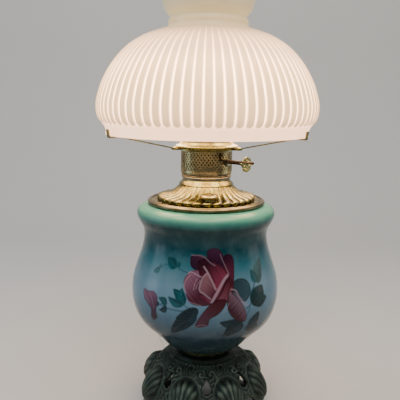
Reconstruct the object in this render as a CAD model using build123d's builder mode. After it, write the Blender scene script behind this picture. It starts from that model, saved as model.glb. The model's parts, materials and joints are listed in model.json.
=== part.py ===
"""Vase oil lamp with a central-draught burner, wired for a cord: every piece its own solid.

Millimetres, +Z up, front towards -Y. The origin is the centre of the foot's lower rim.
"""
from build123d import *
import math
import os

os.makedirs("parts", exist_ok=True)

# ---------------------------------------------------------------- clearances
slip = 0.05              # gap of a shaft in its bearing and of a soldered or screwed fit
lift_gap = 0.3           # gap round a piece that lifts out or slides

# ---------------------------------------------------------------- foot
foot_height = 85.0
foot_radius = 78.0       # shell between the leaves
foot_wall = 4.0
foot_roof = 7.0          # plate that the tie pipe clamps
foot_top_radius = 37.0
foot_bead = 1.5          # radius of each ring round the top
foot_bead_count = 3
rim_radius = 82.5        # ring that stands on the table
rim_height = 8.0
leaf_count = 8
leaf_turn = 25.5         # degrees from straight ahead to the first leaf
leaf_half_length = 27.0
leaf_half_width = 20.5
leaf_seat_radius = 65.5
leaf_seat_height = 45.0
leaf_tilt = 58.0         # degrees that a leaf leans back from level
leaf_vein_count = 5
leaf_vein_width = 1.6
arch_width = 31.0
arch_height = 33.0
drop_radius = 6.0        # pierced drops between the leaves
drop_height = 60.0
drop_length = 13.0

# ---------------------------------------------------------------- cup and tie pipe
cup_height = 11.0
cup_bottom_radius = 31.0
cup_top_radius = 35.5
cup_wall = 3.5
gasket_thickness = 1.0
pipe_radius = 5.0
pipe_bore = 3.4
pipe_below_roof = 12.0
pipe_above_nut = 5.0
nut_width = 17.0         # across the flats
nut_height = 6.0
washer_thickness = 1.5
rubber_washer_radius = 20.0
steel_washer_radius = 18.0

# ---------------------------------------------------------------- vase
vase_height = 190.0
vase_floor = 5.0
vase_wall = 4.0
vase_foot_radius = 36.0
vase_belly_radius = 96.0
vase_belly_height = 74.0
vase_waist_radius = 79.5
vase_waist_height = 150.0
vase_bulge_radius = 89.0
vase_bulge_height = 177.5
vase_lip_width = 4.5

# ---------------------------------------------------------------- font that hangs in the vase
ring_ledge = 3.0
ring_ledge_width = 2.2   # from the ledge's bore to the skirt
ring_bead = 2.3
ring_overhang = 0.6      # of the ring beyond the vase's lip
ring_skirt_depth = 8.0
ring_skirt_wall = 1.5
crown_sheet = 1.4
crown_plate = 2.0
crown_lobes = 32
crown_lobe_radius = 63.5
crown_lobe_depth = 2.2
crown_height = 20.0
crown_neck_radius = 34.0
crown_bore = 28.6
crown_twist = 9.0        # degrees that the lobes swirl from rim to neck
tank_radius = 62.0
tank_depth = 88.0
tank_wall = 1.2
tank_flange = 4.2        # of the tank beyond its wall, to hang on the ledge
filler_angle = -86.5     # degrees round the lamp, straight ahead is -90
filler_bore = 4.2
filler_wall = 1.0
filler_margin = 1.6      # from the filler to the tank's wall
filler_height = 11.2     # above the crown plate
cap_radius = 10.2
cap_taper_radius = 6.6
cap_taper_height = 3.2
cap_dome_height = 4.4

# ---------------------------------------------------------------- burner
collar_height = 6.5
collar_bottom_radius = 35.0
collar_top_radius = 30.6
drum_height = 9.0
drum_radius = 32.0
drum_groove = 1.3
drum_wall = 1.8
drum_plug_depth = 7.0
drum_floor = 3.0
basket_height = 29.5
basket_radius = 32.8
basket_flare_radius = 35.4
basket_flare_height = 8.0
basket_wall = 1.0
basket_rows = 3
basket_holes = 24
basket_hole_size = 3.4
draft_radius = 17.5
draft_wall = 0.8
draft_below_tank = 6.0
wick_inner_radius = 17.9
wick_outer_radius = 21.3
wick_length = 150.0
wick_tube_radius = 22.6
wick_tube_wall = 0.8
wick_tube_rise = 40.0    # above the drum

# ---------------------------------------------------------------- wick winder
shaft_angle = -40.0      # degrees round the lamp from +X
shaft_height = 14.0      # above the drum
shaft_radius = 1.3
knob_distance = 62.0
knob_radius = 9.2
knob_thickness = 1.6
knob_hub_radius = 2.8
knob_hub_length = 6.0
knob_hole_count = 8
knob_hole_radius = 1.45
pinion_teeth = 12
tooth_module = 0.8
tooth_addendum = 0.62
tooth_dedendum = 0.9
tooth_backlash = 0.3
pinion_width = 2.8
rack_thickness = 2.6
wind_teeth = 8           # teeth that the knob winds from stop to stop
carrier_wall = 2.6
carrier_height = 10.0
carrier_gap = 1.5        # between the raised carrier and the drum above it
gland_radius = 2.9
gland_width = 8.0
gland_head = 3.2

# ---------------------------------------------------------------- gallery and its lift
lift_travel = 7.0
sleeve_wall = 0.8
sleeve_depth = 20.0
lift_rod_radius = 1.2
lift_rod_offset = 11.0   # beside the winder's shaft
lift_rod_height = 18.0   # above the drum
lift_rod_reach = 79.0
lift_rod_ball = 2.0
gallery_height = 9.0
gallery_rim_radius = 40.0
gallery_rim_roll = 1.25
gallery_body_radius = 36.0
gallery_lip_radius = 34.0
gallery_bore = 28.6
ledge_thickness = 2.0
holder_height = 9.0
holder_wall = 0.7
holder_fingers = 16
holder_slot = 1.2
arm_ring_thickness = 1.6
arm_ring_width = 4.6
arm_count = 3
arm_first_angle = -30.0
arm_width = 6.0
arm_thickness = 1.5
arm_rise = 16.6
arm_foot_length = 12.0
arm_tip_height = 8.5
rivet_radius = 1.5
rivet_head = 1.0

# ---------------------------------------------------------------- glass
chimney_height = 254.0
chimney_base_radius = 30.2
chimney_base_height = 14.0
chimney_bulge_radius = 37.0
chimney_bulge_height = 40.0
chimney_shoulder_height = 92.0
chimney_top_radius = 24.0
chimney_wall = 2.0
shade_fitter_radius = 127.0
shade_overhang = 11.6    # of the widest rib beyond the fitter
shade_wall = 4.0
shade_ribs = 76
shade_rib_depth = 1.8
shade_band_height = 15.0
shade_widest_height = 32.0
shade_dome_height = 125.0
shade_dome_rise = 99.5   # of the ellipse that the dome follows
shade_dome_centre = 20.0 # radius at which that ellipse is centred
shade_neck_radius = 49.0
shade_neck_height = 7.0
shade_crease_radius = 47.0
shade_bulge_radius = 57.0
shade_height = 181.0
shade_mouth_radius = 49.0

# ---------------------------------------------------------------- electric fitting
adapter_depth = 12.0
adapter_flange = 1.6
socket_radius = 13.0
socket_height = 36.0
socket_wall = 1.5
socket_bore = 6.3
bulb_cap_radius = 5.9
bulb_cap_height = 17.0
bulb_radius = 17.0
bulb_height = 62.0
bulb_wall = 1.0
lead_radius = 2.5

# ---------------------------------------------------------------- cord
cord_radius = 2.5
cord_lift = 0.1          # cord's underside above the table
exit_angle = 115.5       # degrees round the lamp, through a leaf at the back
exit_height = 16.0
bushing_radius = 4.4
bushing_head_radius = 6.4
bushing_head = 3.0
relief_length = 26.0
relief_root_radius = 4.6
relief_tip_radius = 3.1
coil_x = 24.0
coil_y = 150.0
coil_radius = 27.5       # middle of the turns
coil_width = 20.0
coil_height = 10.0
plug_x = 34.0
plug_y = 240.0
plug_length = 30.0
plug_width = 25.0
plug_height = 17.0
plug_relief_length = 22.0
pin_width = 6.35
pin_thickness = 1.5
pin_length = 17.0
pin_spacing = 12.7

# ---------------------------------------------------------------- heights up the lamp
cup_seat = foot_height
gasket_seat = cup_seat + cup_height
vase_seat = gasket_seat + gasket_thickness
vase_top = vase_seat + vase_height
crown_seat = vase_top + ring_ledge
lobe_seat = crown_seat + crown_plate
collar_seat = lobe_seat + crown_height
drum_seat = collar_seat + collar_height
drum_top = drum_seat + drum_height
shaft_level = drum_top + shaft_height
rod_level = drum_top + lift_rod_height
gallery_seat = drum_top + basket_height
gallery_top = gallery_seat + gallery_height
arm_level = gallery_seat + arm_ring_thickness
shade_seat = arm_level + arm_rise
chimney_seat = gallery_top
socket_seat = drum_top + wick_tube_rise

# ---------------------------------------------------------------- fits of the font in the vase
flange_radius = tank_radius + tank_flange
ring_ledge_bore = flange_radius + lift_gap
skirt_radius = ring_ledge_bore + ring_ledge_width + ring_skirt_wall
vase_mouth_radius = skirt_radius + lift_gap
vase_lip_radius = vase_mouth_radius + vase_lip_width
ring_outer_radius = vase_lip_radius + ring_overhang
filler_distance = tank_radius - tank_wall - filler_margin - filler_wall - filler_bore
shade_radius = shade_fitter_radius + shade_overhang

# ---------------------------------------------------------------- shared directions and fits
shaft_direction = Vector(1, 0, 0).rotate(Axis.Z, shaft_angle)
exit_direction = Vector(1, 0, 0).rotate(Axis.Z, exit_angle)
shaft_plane = Plane(origin=(0, 0, shaft_level), x_dir=(0, 0, 1), z_dir=shaft_direction)
rod_plane = Plane(origin=(0, 0, rod_level), x_dir=(0, 0, 1), z_dir=shaft_direction)
exit_plane = Plane(origin=(0, 0, exit_height), x_dir=(0, 0, 1), z_dir=exit_direction)
leaf_first_angle = leaf_turn - 90.0
pitch_radius = pinion_teeth * tooth_module / 2
tooth_pitch = math.pi * tooth_module
wick_travel = wind_teeth * tooth_pitch
basket_bore = basket_radius - basket_wall
sleeve_radius = basket_bore - lift_gap
pinion_inner = wick_tube_radius + 0.8
rack_inner = wick_tube_radius + 0.7
carrier_bore = wick_outer_radius + slip
carrier_top = drum_seat - drum_plug_depth - wick_travel - carrier_gap
holder_bore = chimney_base_radius + lift_gap
filler_spot = Vector(filler_distance, 0, 0).rotate(Axis.Z, filler_angle)
cord_level = cord_radius + cord_lift


def turned(radius, angle):
    """Point at a radius and an angle in the plane of a sketch."""
    return Vector(radius, 0).rotate(Axis.Z, angle)


def tube(radius, bore, low, high):
    """Upright tube about the lamp's axis, added to the part that is being built."""
    with BuildSketch(Plane.XY.offset(low)) as ring:
        Circle(radius)
        Circle(bore, mode=Mode.SUBTRACT)
    extrude(ring.sketch, amount=high - low)


def save(piece, name):
    """Label a finished piece and write its STEP file."""
    piece.part.label = name
    export_step(piece.part, f"parts/{name}.step")


# ================================================================ foot
# One leaf is a spheroid sunk in the shell; eight of them stand round it.
leaf_lean = Vector(-math.cos(math.radians(leaf_tilt)), math.sin(math.radians(leaf_tilt)))
leaf_axis = Axis((leaf_seat_radius, 0, leaf_seat_height), (leaf_lean.X, 0, leaf_lean.Y))
with BuildPart() as leaf:
    with BuildSketch(Plane.XZ):
        with Locations((leaf_seat_radius, leaf_seat_height)):
            Ellipse(leaf_half_length, leaf_half_width, rotation=180 - leaf_tilt)
            with Locations(Location((0, 0), 180 - leaf_tilt)):
                Rectangle(2 * leaf_half_length, 2 * leaf_half_width,
                          align=(Align.CENTER, Align.MIN), mode=Mode.SUBTRACT)
    revolve(axis=leaf_axis)

with BuildPart() as arch_cutter:
    with BuildSketch(Plane.YZ.offset(foot_radius / 2)):
        with Locations((0, rim_height)):
            Rectangle(arch_width, arch_height - arch_width / 2, align=(Align.CENTER, Align.MIN))
        with Locations((0, rim_height + arch_height - arch_width / 2)):
            Circle(arch_width / 2)
        with Locations((0, drop_height)):
            Circle(drop_radius)
            Trapezoid(2 * drop_radius * 0.9, drop_length, 70, align=(Align.CENTER, Align.MIN))
    extrude(amount=foot_radius)

with BuildPart() as foot_casting:
    shoulder_radius = foot_top_radius + 2 * foot_bead * foot_bead_count
    shoulder_level = foot_height - foot_bead * foot_bead_count
    with BuildSketch(Plane.XZ):
        with BuildLine():
            Polyline((0, 0), (0, foot_height), (foot_top_radius, foot_height))
            for bead in range(foot_bead_count):
                inner = (foot_top_radius + 2 * foot_bead * bead, foot_height - foot_bead * bead)
                outer = (inner[0] + 2 * foot_bead, inner[1] - foot_bead)
                ThreePointArc(inner, (inner[0] + 1.6 * foot_bead, inner[1] + 0.2 * foot_bead), outer)
            Spline((shoulder_radius, shoulder_level),
                   (foot_radius - 8.0, foot_height / 2 + 17.0),
                   (foot_radius, foot_height / 2 - 5.0),
                   (foot_radius - 1.5, rim_height),
                   tangents=((1, -0.35), (-0.1, -1)))
            Polyline((foot_radius - 1.5, rim_height), (foot_radius - 1.5, 0), (0, 0))
        make_face()
    revolve(axis=Axis.Z)
    with PolarLocations(0, leaf_count, start_angle=leaf_first_angle):
        add(leaf.part)
    with BuildSketch(Plane.XZ):
        with BuildLine():
            Polyline((0, 0), (0, foot_height - foot_roof),
                     (foot_top_radius - foot_wall, foot_height - foot_roof))
            Spline((foot_top_radius - foot_wall, foot_height - foot_roof),
                   (foot_radius - foot_wall - 8.0, foot_height / 2 + 12.0),
                   (foot_radius - foot_wall, foot_height / 2 - 7.0),
                   (foot_radius - foot_wall - 1.5, 0),
                   tangents=((1, -0.25), (-0.1, -1)))
            Line((foot_radius - foot_wall - 1.5, 0), (0, 0))
        make_face()
    revolve(axis=Axis.Z, mode=Mode.SUBTRACT)
    with PolarLocations(0, leaf_count, start_angle=leaf_first_angle + 180 / leaf_count):
        add(arch_cutter.part, mode=Mode.SUBTRACT)
    with BuildSketch(Plane.XY):
        Circle(2 * rim_radius)
    extrude(amount=-foot_height, mode=Mode.SUBTRACT)
    with BuildSketch(Plane.XZ):
        with BuildLine():
            Polyline((foot_radius - foot_wall - 1.5, rim_height), (foot_radius - foot_wall - 1.5, 0),
                     (rim_radius, 0))
            ThreePointArc((rim_radius, 0), (rim_radius + 1.5, rim_height / 2), (rim_radius - 1.0, rim_height))
            Line((rim_radius - 1.0, rim_height), (foot_radius - foot_wall - 1.5, rim_height))
        make_face()
    revolve(axis=Axis.Z)
    with BuildSketch(Plane.XY.offset(foot_height - foot_roof)):
        Circle(pipe_radius + slip)
    extrude(amount=foot_roof, mode=Mode.SUBTRACT)
    with BuildSketch(exit_plane.offset(foot_radius - 3 * foot_wall)):
        Circle(bushing_radius + slip)
    extrude(amount=6 * foot_wall, mode=Mode.SUBTRACT)
    with BuildSketch(exit_plane.offset(rim_radius)):
        Circle(bushing_head_radius + lift_gap)
    extrude(amount=4 * foot_wall, mode=Mode.SUBTRACT)
save(foot_casting, "foot_casting")

# ================================================================ cup, pipe, nuts and washers
with BuildPart() as base_cup:
    with BuildSketch(Plane.XZ):
        with BuildLine():
            Line((0, cup_seat), (cup_bottom_radius, cup_seat))
            ThreePointArc((cup_bottom_radius, cup_seat),
                          (cup_top_radius - 1.2, cup_seat + 0.42 * cup_height),
                          (cup_top_radius, gasket_seat))
            Polyline((cup_top_radius, gasket_seat), (cup_top_radius - cup_wall, gasket_seat),
                     (cup_bottom_radius - cup_wall, cup_seat + cup_wall), (0, cup_seat + cup_wall),
                     (0, cup_seat))
        make_face()
    revolve(axis=Axis.Z)
    with BuildSketch(Plane.XY.offset(cup_seat)):
        Circle(pipe_radius + slip)
    extrude(amount=cup_wall, mode=Mode.SUBTRACT)
save(base_cup, "base_cup")

with BuildPart() as cup_gasket:
    tube(cup_top_radius, cup_top_radius - cup_wall, gasket_seat, vase_seat)
save(cup_gasket, "cup_gasket")

vase_floor_level = vase_seat + vase_floor
rubber_top = vase_floor_level + washer_thickness
steel_top = rubber_top + washer_thickness
upper_nut_top = steel_top + nut_height
roof_level = foot_height - foot_roof

with BuildPart() as vase_rubber_washer:
    tube(rubber_washer_radius, pipe_radius + slip, vase_floor_level, rubber_top)
save(vase_rubber_washer, "vase_rubber_washer")

with BuildPart() as vase_steel_washer:
    tube(steel_washer_radius, pipe_radius + slip, rubber_top, steel_top)
save(vase_steel_washer, "vase_steel_washer")

with BuildPart() as tie_pipe:
    tube(pipe_radius, pipe_bore, roof_level - pipe_below_roof, upper_nut_top + pipe_above_nut)
save(tie_pipe, "tie_pipe")

with BuildPart() as pipe_nuts:
    for nut_seat in (roof_level - nut_height, steel_top):
        with BuildSketch(Plane.XY.offset(nut_seat)):
            RegularPolygon(nut_width / 2, 6, major_radius=False)
            Circle(pipe_radius + slip, mode=Mode.SUBTRACT)
        extrude(amount=nut_height)
save(pipe_nuts, "pipe_nuts")


# ================================================================ vase
def vase_side(inset):
    """Outline points of the vase's side, moved inwards by an inset."""
    foot_step = vase_belly_radius - vase_foot_radius
    neck_step = vase_waist_height - vase_belly_height
    lip_step = vase_height - vase_bulge_height
    return [
        (vase_foot_radius + 0.20 * foot_step - inset, vase_seat + inset + 0.03 * vase_belly_height),
        (vase_foot_radius + 0.42 * foot_step - inset, vase_seat + 0.20 * vase_belly_height),
        (vase_foot_radius + 0.81 * foot_step - inset, vase_seat + 0.52 * vase_belly_height),
        (vase_belly_radius - inset, vase_seat + vase_belly_height),
        (0.6 * vase_belly_radius + 0.4 * vase_waist_radius - inset,
         vase_seat + vase_belly_height + neck_step / 2),
        (vase_waist_radius - inset, vase_seat + vase_waist_height),
        (0.32 * vase_bulge_radius + 0.68 * vase_waist_radius - inset,
         vase_seat + (vase_waist_height + vase_bulge_height) / 2),
        (vase_bulge_radius - inset, vase_seat + vase_bulge_height),
        (vase_bulge_radius - 0.25 * (vase_bulge_radius - vase_lip_radius) - inset,
         vase_top - 0.44 * lip_step),
    ]


with BuildPart() as vase:
    with BuildSketch(Plane.XZ):
        with BuildLine():
            Polyline((pipe_radius + slip, vase_floor_level), (pipe_radius + slip, vase_seat),
                     (vase_foot_radius, vase_seat))
            Spline((vase_foot_radius, vase_seat), *vase_side(0), (vase_lip_radius, vase_top))
            Line((vase_lip_radius, vase_top), (vase_mouth_radius, vase_top))
            inner_low = (vase_foot_radius - vase_wall, vase_floor_level)
            Spline((vase_mouth_radius, vase_top), *reversed(vase_side(vase_wall)), inner_low)
            Line(inner_low, (pipe_radius + slip, vase_floor_level))
        make_face()
    revolve(axis=Axis.Z)
save(vase, "vase")

# ================================================================ ring on the vase's mouth
with BuildPart() as mouth_ring:
    bead_radius = ring_outer_radius - ring_bead
    skirt_level = vase_top - ring_skirt_depth
    with BuildSketch(Plane.XZ):
        with BuildLine():
            Polyline((ring_ledge_bore, vase_top), (skirt_radius - ring_skirt_wall, vase_top),
                     (skirt_radius - ring_skirt_wall, skirt_level), (skirt_radius, skirt_level),
                     (skirt_radius, vase_top), (bead_radius, vase_top), (bead_radius, crown_seat),
                     (ring_ledge_bore, crown_seat), close=True)
        make_face()
        with Locations((bead_radius, vase_top + ring_bead)):
            Circle(ring_bead)
        with Locations((bead_radius, vase_top + ring_bead + 2.0)):
            Circle(ring_bead)
        with Locations((bead_radius, vase_top + ring_bead)):
            Rectangle(2 * ring_bead, 2.0, align=(Align.CENTER, Align.MIN))
    revolve(axis=Axis.Z)
save(mouth_ring, "mouth_ring")


# ================================================================ crown and tank of the font
def scalloped_sketch(level, radius, lobes, depth, turn=0.0):
    """Closed outline of rounded lobes that meet in narrow grooves, at a level."""
    step = 360 / lobes
    with BuildSketch(Plane.XY.offset(level)) as section:
        with BuildLine():
            for lobe in range(lobes):
                middle = turn + lobe * step
                ThreePointArc(turned(radius - depth, middle - step / 2), turned(radius, middle),
                              turned(radius - depth, middle + step / 2))
        make_face()
    return section.sketch


# height above the lobes' seat, radius and lobe depth, as shares of the crown's own sizes
crown_steps = ((0.0, 0.0, 1.0), (0.15, 0.0, 1.0), (0.27, 0.10, 0.9), (0.32, 0.27, 0.8), (0.36, 0.50, 0.6),
               (0.60, 0.76, 0.3))

with BuildPart() as font_crown:
    fall = crown_lobe_radius - crown_neck_radius
    loft([scalloped_sketch(lobe_seat + rise * crown_height, crown_lobe_radius - inward * fall,
                           crown_lobes, share * crown_lobe_depth, crown_twist * rise)
          for rise, inward, share in crown_steps], ruled=True)
    last_rise, last_inward, last_share = crown_steps[-1]
    with BuildSketch(Plane.XZ):
        cone_foot = crown_lobe_radius - last_inward * fall - last_share * crown_lobe_depth
        cone_level = lobe_seat + last_rise * crown_height
        Polygon((0, cone_level), (cone_foot, cone_level), (crown_neck_radius + 1.5, collar_seat - 2.0),
                (crown_neck_radius, collar_seat), (0, collar_seat), align=None)
        Polygon((0, crown_seat), (bead_radius - ring_bead - slip, crown_seat),
                (bead_radius - ring_bead - slip, lobe_seat), (0, lobe_seat), align=None)
    revolve(axis=Axis.Z)
    with BuildSketch(Plane.XZ):
        underside = [(crown_lobe_radius - inward * fall - share * crown_lobe_depth - crown_sheet,
                      lobe_seat + rise * crown_height - crown_sheet)
                     for rise, inward, share in crown_steps[1:]]
        Polygon((0, crown_seat), (underside[0][0], crown_seat), *underside,
                (crown_bore, underside[-1][1] + 2.0), (crown_bore, collar_seat), (0, collar_seat),
                align=None)
    revolve(axis=Axis.Z, mode=Mode.SUBTRACT)
    with BuildSketch(Plane.XY.offset(crown_seat)):
        with Locations(filler_spot):
            Circle(filler_bore + filler_wall + slip)
    extrude(amount=crown_height, mode=Mode.SUBTRACT)
save(font_crown, "font_crown")

with BuildPart() as font_tank:
    tank_floor = crown_seat - tank_depth
    with BuildSketch(Plane.XZ):
        with BuildLine():
            Line((draft_radius + slip, tank_floor), (tank_radius - 12.0, tank_floor))
            ThreePointArc((tank_radius - 12.0, tank_floor), (tank_radius - 3.5, tank_floor + 3.5),
                          (tank_radius, tank_floor + 12.0))
            Polyline((tank_radius, tank_floor + 12.0), (tank_radius, crown_seat - tank_wall),
                     (flange_radius, crown_seat - tank_wall), (flange_radius, crown_seat),
                     (tank_radius - tank_wall, crown_seat), (tank_radius - tank_wall, tank_floor + 12.0))
            ThreePointArc((tank_radius - tank_wall, tank_floor + 12.0),
                          (tank_radius - 3.5 - 0.7 * tank_wall, tank_floor + 3.5 + 0.7 * tank_wall),
                          (tank_radius - 12.0, tank_floor + tank_wall))
            Polyline((tank_radius - 12.0, tank_floor + tank_wall),
                     (draft_radius + slip, tank_floor + tank_wall), (draft_radius + slip, tank_floor))
        make_face()
    revolve(axis=Axis.Z)
save(font_tank, "font_tank")

with BuildPart() as draft_tube:
    tube(draft_radius, draft_radius - draft_wall, tank_floor - draft_below_tank, socket_seat)
save(draft_tube, "draft_tube")

neck_top = lobe_seat + filler_height
with BuildPart() as filler_neck:
    with BuildSketch(Plane.XY.offset(crown_seat - 4.0)):
        with Locations(filler_spot):
            Circle(filler_bore + filler_wall)
            Circle(filler_bore, mode=Mode.SUBTRACT)
    extrude(amount=neck_top - crown_seat + 4.0)
save(filler_neck, "filler_neck")

with BuildPart() as filler_cap:
    cap_low = neck_top + lift_gap - cap_taper_height
    cap_rim = neck_top + lift_gap
    cap_plane = Plane(origin=(filler_spot.X, filler_spot.Y, 0), x_dir=(1, 0, 0), z_dir=(0, -1, 0))
    cap_bore = filler_bore + filler_wall + lift_gap
    with BuildSketch(cap_plane):
        with BuildLine():
            Polyline((0, cap_rim), (cap_bore, cap_rim), (cap_bore, cap_low), (cap_taper_radius, cap_low),
                     (cap_radius - 0.8, cap_rim - 0.6), (cap_radius, cap_rim + 0.4))
            dome_rise = cap_dome_height - 0.4
            dome_sphere = (cap_radius ** 2 + dome_rise ** 2) / (2 * dome_rise)
            dome_drop = dome_sphere - math.sqrt(dome_sphere ** 2 - cap_radius ** 2 / 4)
            ThreePointArc((cap_radius, cap_rim + 0.4), (cap_radius / 2, cap_rim + cap_dome_height - dome_drop),
                          (0, cap_rim + cap_dome_height))
            Line((0, cap_rim + cap_dome_height), (0, cap_rim))
        make_face()
    revolve(axis=Axis((filler_spot.X, filler_spot.Y, 0), (0, 0, 1)))
save(filler_cap, "filler_cap")

# ================================================================ collar, drum and basket
with BuildPart() as burner_collar:
    with BuildSketch(Plane.XZ):
        Polygon((crown_bore, collar_seat), (collar_bottom_radius, collar_seat),
                (collar_bottom_radius, collar_seat + 1.0), (collar_top_radius + 0.6, drum_seat - 1.2),
                (collar_top_radius, drum_seat), (crown_bore, drum_seat), align=None)
    revolve(axis=Axis.Z)
save(burner_collar, "burner_collar")

# the slot in the drum through which the rack slides
rack_face = pitch_radius + tooth_dedendum
with BuildPart() as rack_slot:
    with BuildSketch(Plane(origin=(0, 0, drum_seat - drum_plug_depth), x_dir=shaft_direction,
                           z_dir=(0, 0, 1))):
        with Locations((rack_inner - lift_gap, pitch_radius - tooth_addendum - lift_gap)):
            Rectangle(pinion_width + 2 * lift_gap, rack_thickness + tooth_dedendum + tooth_addendum
                      + 2 * lift_gap, align=(Align.MIN, Align.MIN))
    extrude(amount=drum_plug_depth + drum_height)

with BuildPart() as burner_drum:
    with BuildSketch(Plane.XZ):
        with BuildLine():
            Polyline((wick_tube_radius + slip, drum_seat - drum_plug_depth),
                     (crown_bore - slip, drum_seat - drum_plug_depth), (crown_bore - slip, drum_seat),
                     (drum_radius - drum_groove, drum_seat),
                     (drum_radius - drum_groove, drum_seat + 0.20 * drum_height),
                     (drum_radius, drum_seat + 0.30 * drum_height),
                     (drum_radius, drum_seat + 0.50 * drum_height),
                     (drum_radius - drum_groove, drum_seat + 0.60 * drum_height),
                     (drum_radius - drum_groove, drum_seat + 0.78 * drum_height),
                     (drum_radius + 0.3, drum_seat + 0.88 * drum_height),
                     (drum_radius + 0.3, drum_top), (drum_radius - drum_wall, drum_top),
                     (drum_radius - drum_wall, drum_seat + drum_floor),
                     (wick_tube_radius + slip, drum_seat + drum_floor), close=True)
        make_face()
    revolve(axis=Axis.Z)
    add(rack_slot.part, mode=Mode.SUBTRACT)
save(burner_drum, "burner_drum")

with BuildPart() as basket_hole:
    with BuildSketch(Plane.YZ.offset(basket_radius - 3 * basket_wall)):
        Rectangle(basket_hole_size, basket_hole_size, rotation=45)
    extrude(amount=6 * basket_wall)

basket_pitch = (basket_height - basket_flare_height - 4.0) / basket_rows
rod_slot_low = rod_level - lift_rod_radius - lift_gap
rod_slot_high = rod_level + lift_travel + lift_rod_radius + lift_gap
with BuildPart() as burner_basket:
    with BuildSketch(Plane.XZ):
        with BuildLine():
            flare_level = gallery_seat - basket_flare_height
            Polyline((basket_bore, drum_top), (basket_radius, drum_top), (basket_radius, flare_level))
            ThreePointArc((basket_radius, flare_level),
                          (basket_radius + 0.6, flare_level + 0.55 * basket_flare_height),
                          (basket_flare_radius, gallery_seat))
            Line((basket_flare_radius, gallery_seat), (basket_flare_radius - basket_wall, gallery_seat))
            ThreePointArc((basket_flare_radius - basket_wall, gallery_seat),
                          (basket_bore + 0.6, flare_level + 0.65 * basket_flare_height),
                          (basket_bore, flare_level))
            Line((basket_bore, flare_level), (basket_bore, drum_top))
        make_face()
    revolve(axis=Axis.Z)
    for row in range(basket_rows):
        row_level = drum_top + 3.5 + (row + 0.5) * basket_pitch
        half_step = 180 / basket_holes * (row % 2)
        with Locations((0, 0, row_level)):
            with PolarLocations(0, basket_holes, start_angle=shaft_angle + 30.0 + half_step):
                add(basket_hole.part, mode=Mode.SUBTRACT)
    with BuildSketch(shaft_plane.offset(basket_bore - 5.0)):
        Circle(gland_radius + slip)
    extrude(amount=10.0, mode=Mode.SUBTRACT)
    with BuildSketch(rod_plane.offset(basket_bore - 6.0)):
        with Locations((rod_slot_low - rod_level, lift_rod_offset)):
            Rectangle(rod_slot_high - rod_slot_low, 2 * (lift_rod_radius + lift_gap),
                      align=(Align.MIN, Align.CENTER))
    extrude(amount=12.0, mode=Mode.SUBTRACT)
save(burner_basket, "burner_basket")

# ================================================================ wick and its tubes
with BuildPart() as outer_wick_tube:
    tube(wick_tube_radius, wick_tube_radius - wick_tube_wall, drum_seat - drum_plug_depth, socket_seat)
save(outer_wick_tube, "outer_wick_tube")

wick_top = socket_seat - 1.0
with BuildPart() as wick:
    tube(wick_outer_radius, wick_inner_radius, wick_top - wick_length, wick_top)
save(wick, "wick")


def rack_profile():
    """Side view of the rack: x up, y across, teeth towards the pinion, in the shaft's own plane."""
    flank = tooth_pitch / 4 - tooth_backlash / 2
    slope = math.tan(math.radians(20))
    tip_half = flank - tooth_addendum * slope
    root_half = flank + tooth_dedendum * slope
    first = -wind_teeth - 2
    with BuildLine() as outline:
        points = []
        for tooth in range(first, 3):
            middle = (tooth + 0.5) * tooth_pitch
            points += [(middle - root_half, -rack_face), (middle - tip_half, tooth_addendum - pitch_radius),
                       (middle + tip_half, tooth_addendum - pitch_radius), (middle + root_half, -rack_face)]
        low = carrier_top - carrier_height - shaft_level
        high = points[-1][0] + 0.6
        Polyline((low, -rack_face), *points, (high, -rack_face), (high, -rack_face - rack_thickness),
                 (low, -rack_face - rack_thickness), close=True)
    make_face(outline.edges())


with BuildPart() as wick_carrier:
    tube(carrier_bore + carrier_wall, carrier_bore, carrier_top - carrier_height, carrier_top)
    with BuildSketch(Plane(origin=(0, 0, carrier_top - carrier_height), x_dir=shaft_direction,
                           z_dir=(0, 0, 1))):
        with Locations((carrier_bore, rack_face)):
            Rectangle(rack_inner + pinion_width - carrier_bore, rack_thickness, align=(Align.MIN, Align.MIN))
        Circle(carrier_bore, mode=Mode.SUBTRACT)
    extrude(amount=carrier_height)
    with BuildSketch(shaft_plane.offset(rack_inner)):
        rack_profile()
    extrude(amount=pinion_width)
save(wick_carrier, "wick_carrier")

# ================================================================ winder shaft, pinion, knob
with BuildPart() as wick_spindle:
    with BuildSketch(shaft_plane.offset(pinion_inner - 0.3)):
        Circle(shaft_radius)
    extrude(amount=knob_distance + knob_thickness - pinion_inner)
save(wick_spindle, "wick_spindle")

with BuildPart() as wick_pinion:
    with BuildSketch(shaft_plane.offset(pinion_inner)):
        with BuildLine():
            corners = []
            half_pitch_angle = math.degrees((tooth_pitch / 4 - tooth_backlash / 4) / pitch_radius)
            root_radius = pitch_radius - tooth_dedendum
            tip_radius = pitch_radius + tooth_addendum
            for tooth in range(pinion_teeth):
                middle = 90 + tooth * 360 / pinion_teeth
                corners += [turned(root_radius, middle - 1.45 * half_pitch_angle),
                            turned(tip_radius, middle - 0.55 * half_pitch_angle),
                            turned(tip_radius, middle + 0.55 * half_pitch_angle),
                            turned(root_radius, middle + 1.45 * half_pitch_angle)]
            Polyline(*corners, close=True)
        make_face()
        Circle(shaft_radius + slip, mode=Mode.SUBTRACT)
    extrude(amount=pinion_width)
save(wick_pinion, "wick_pinion")

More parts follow.
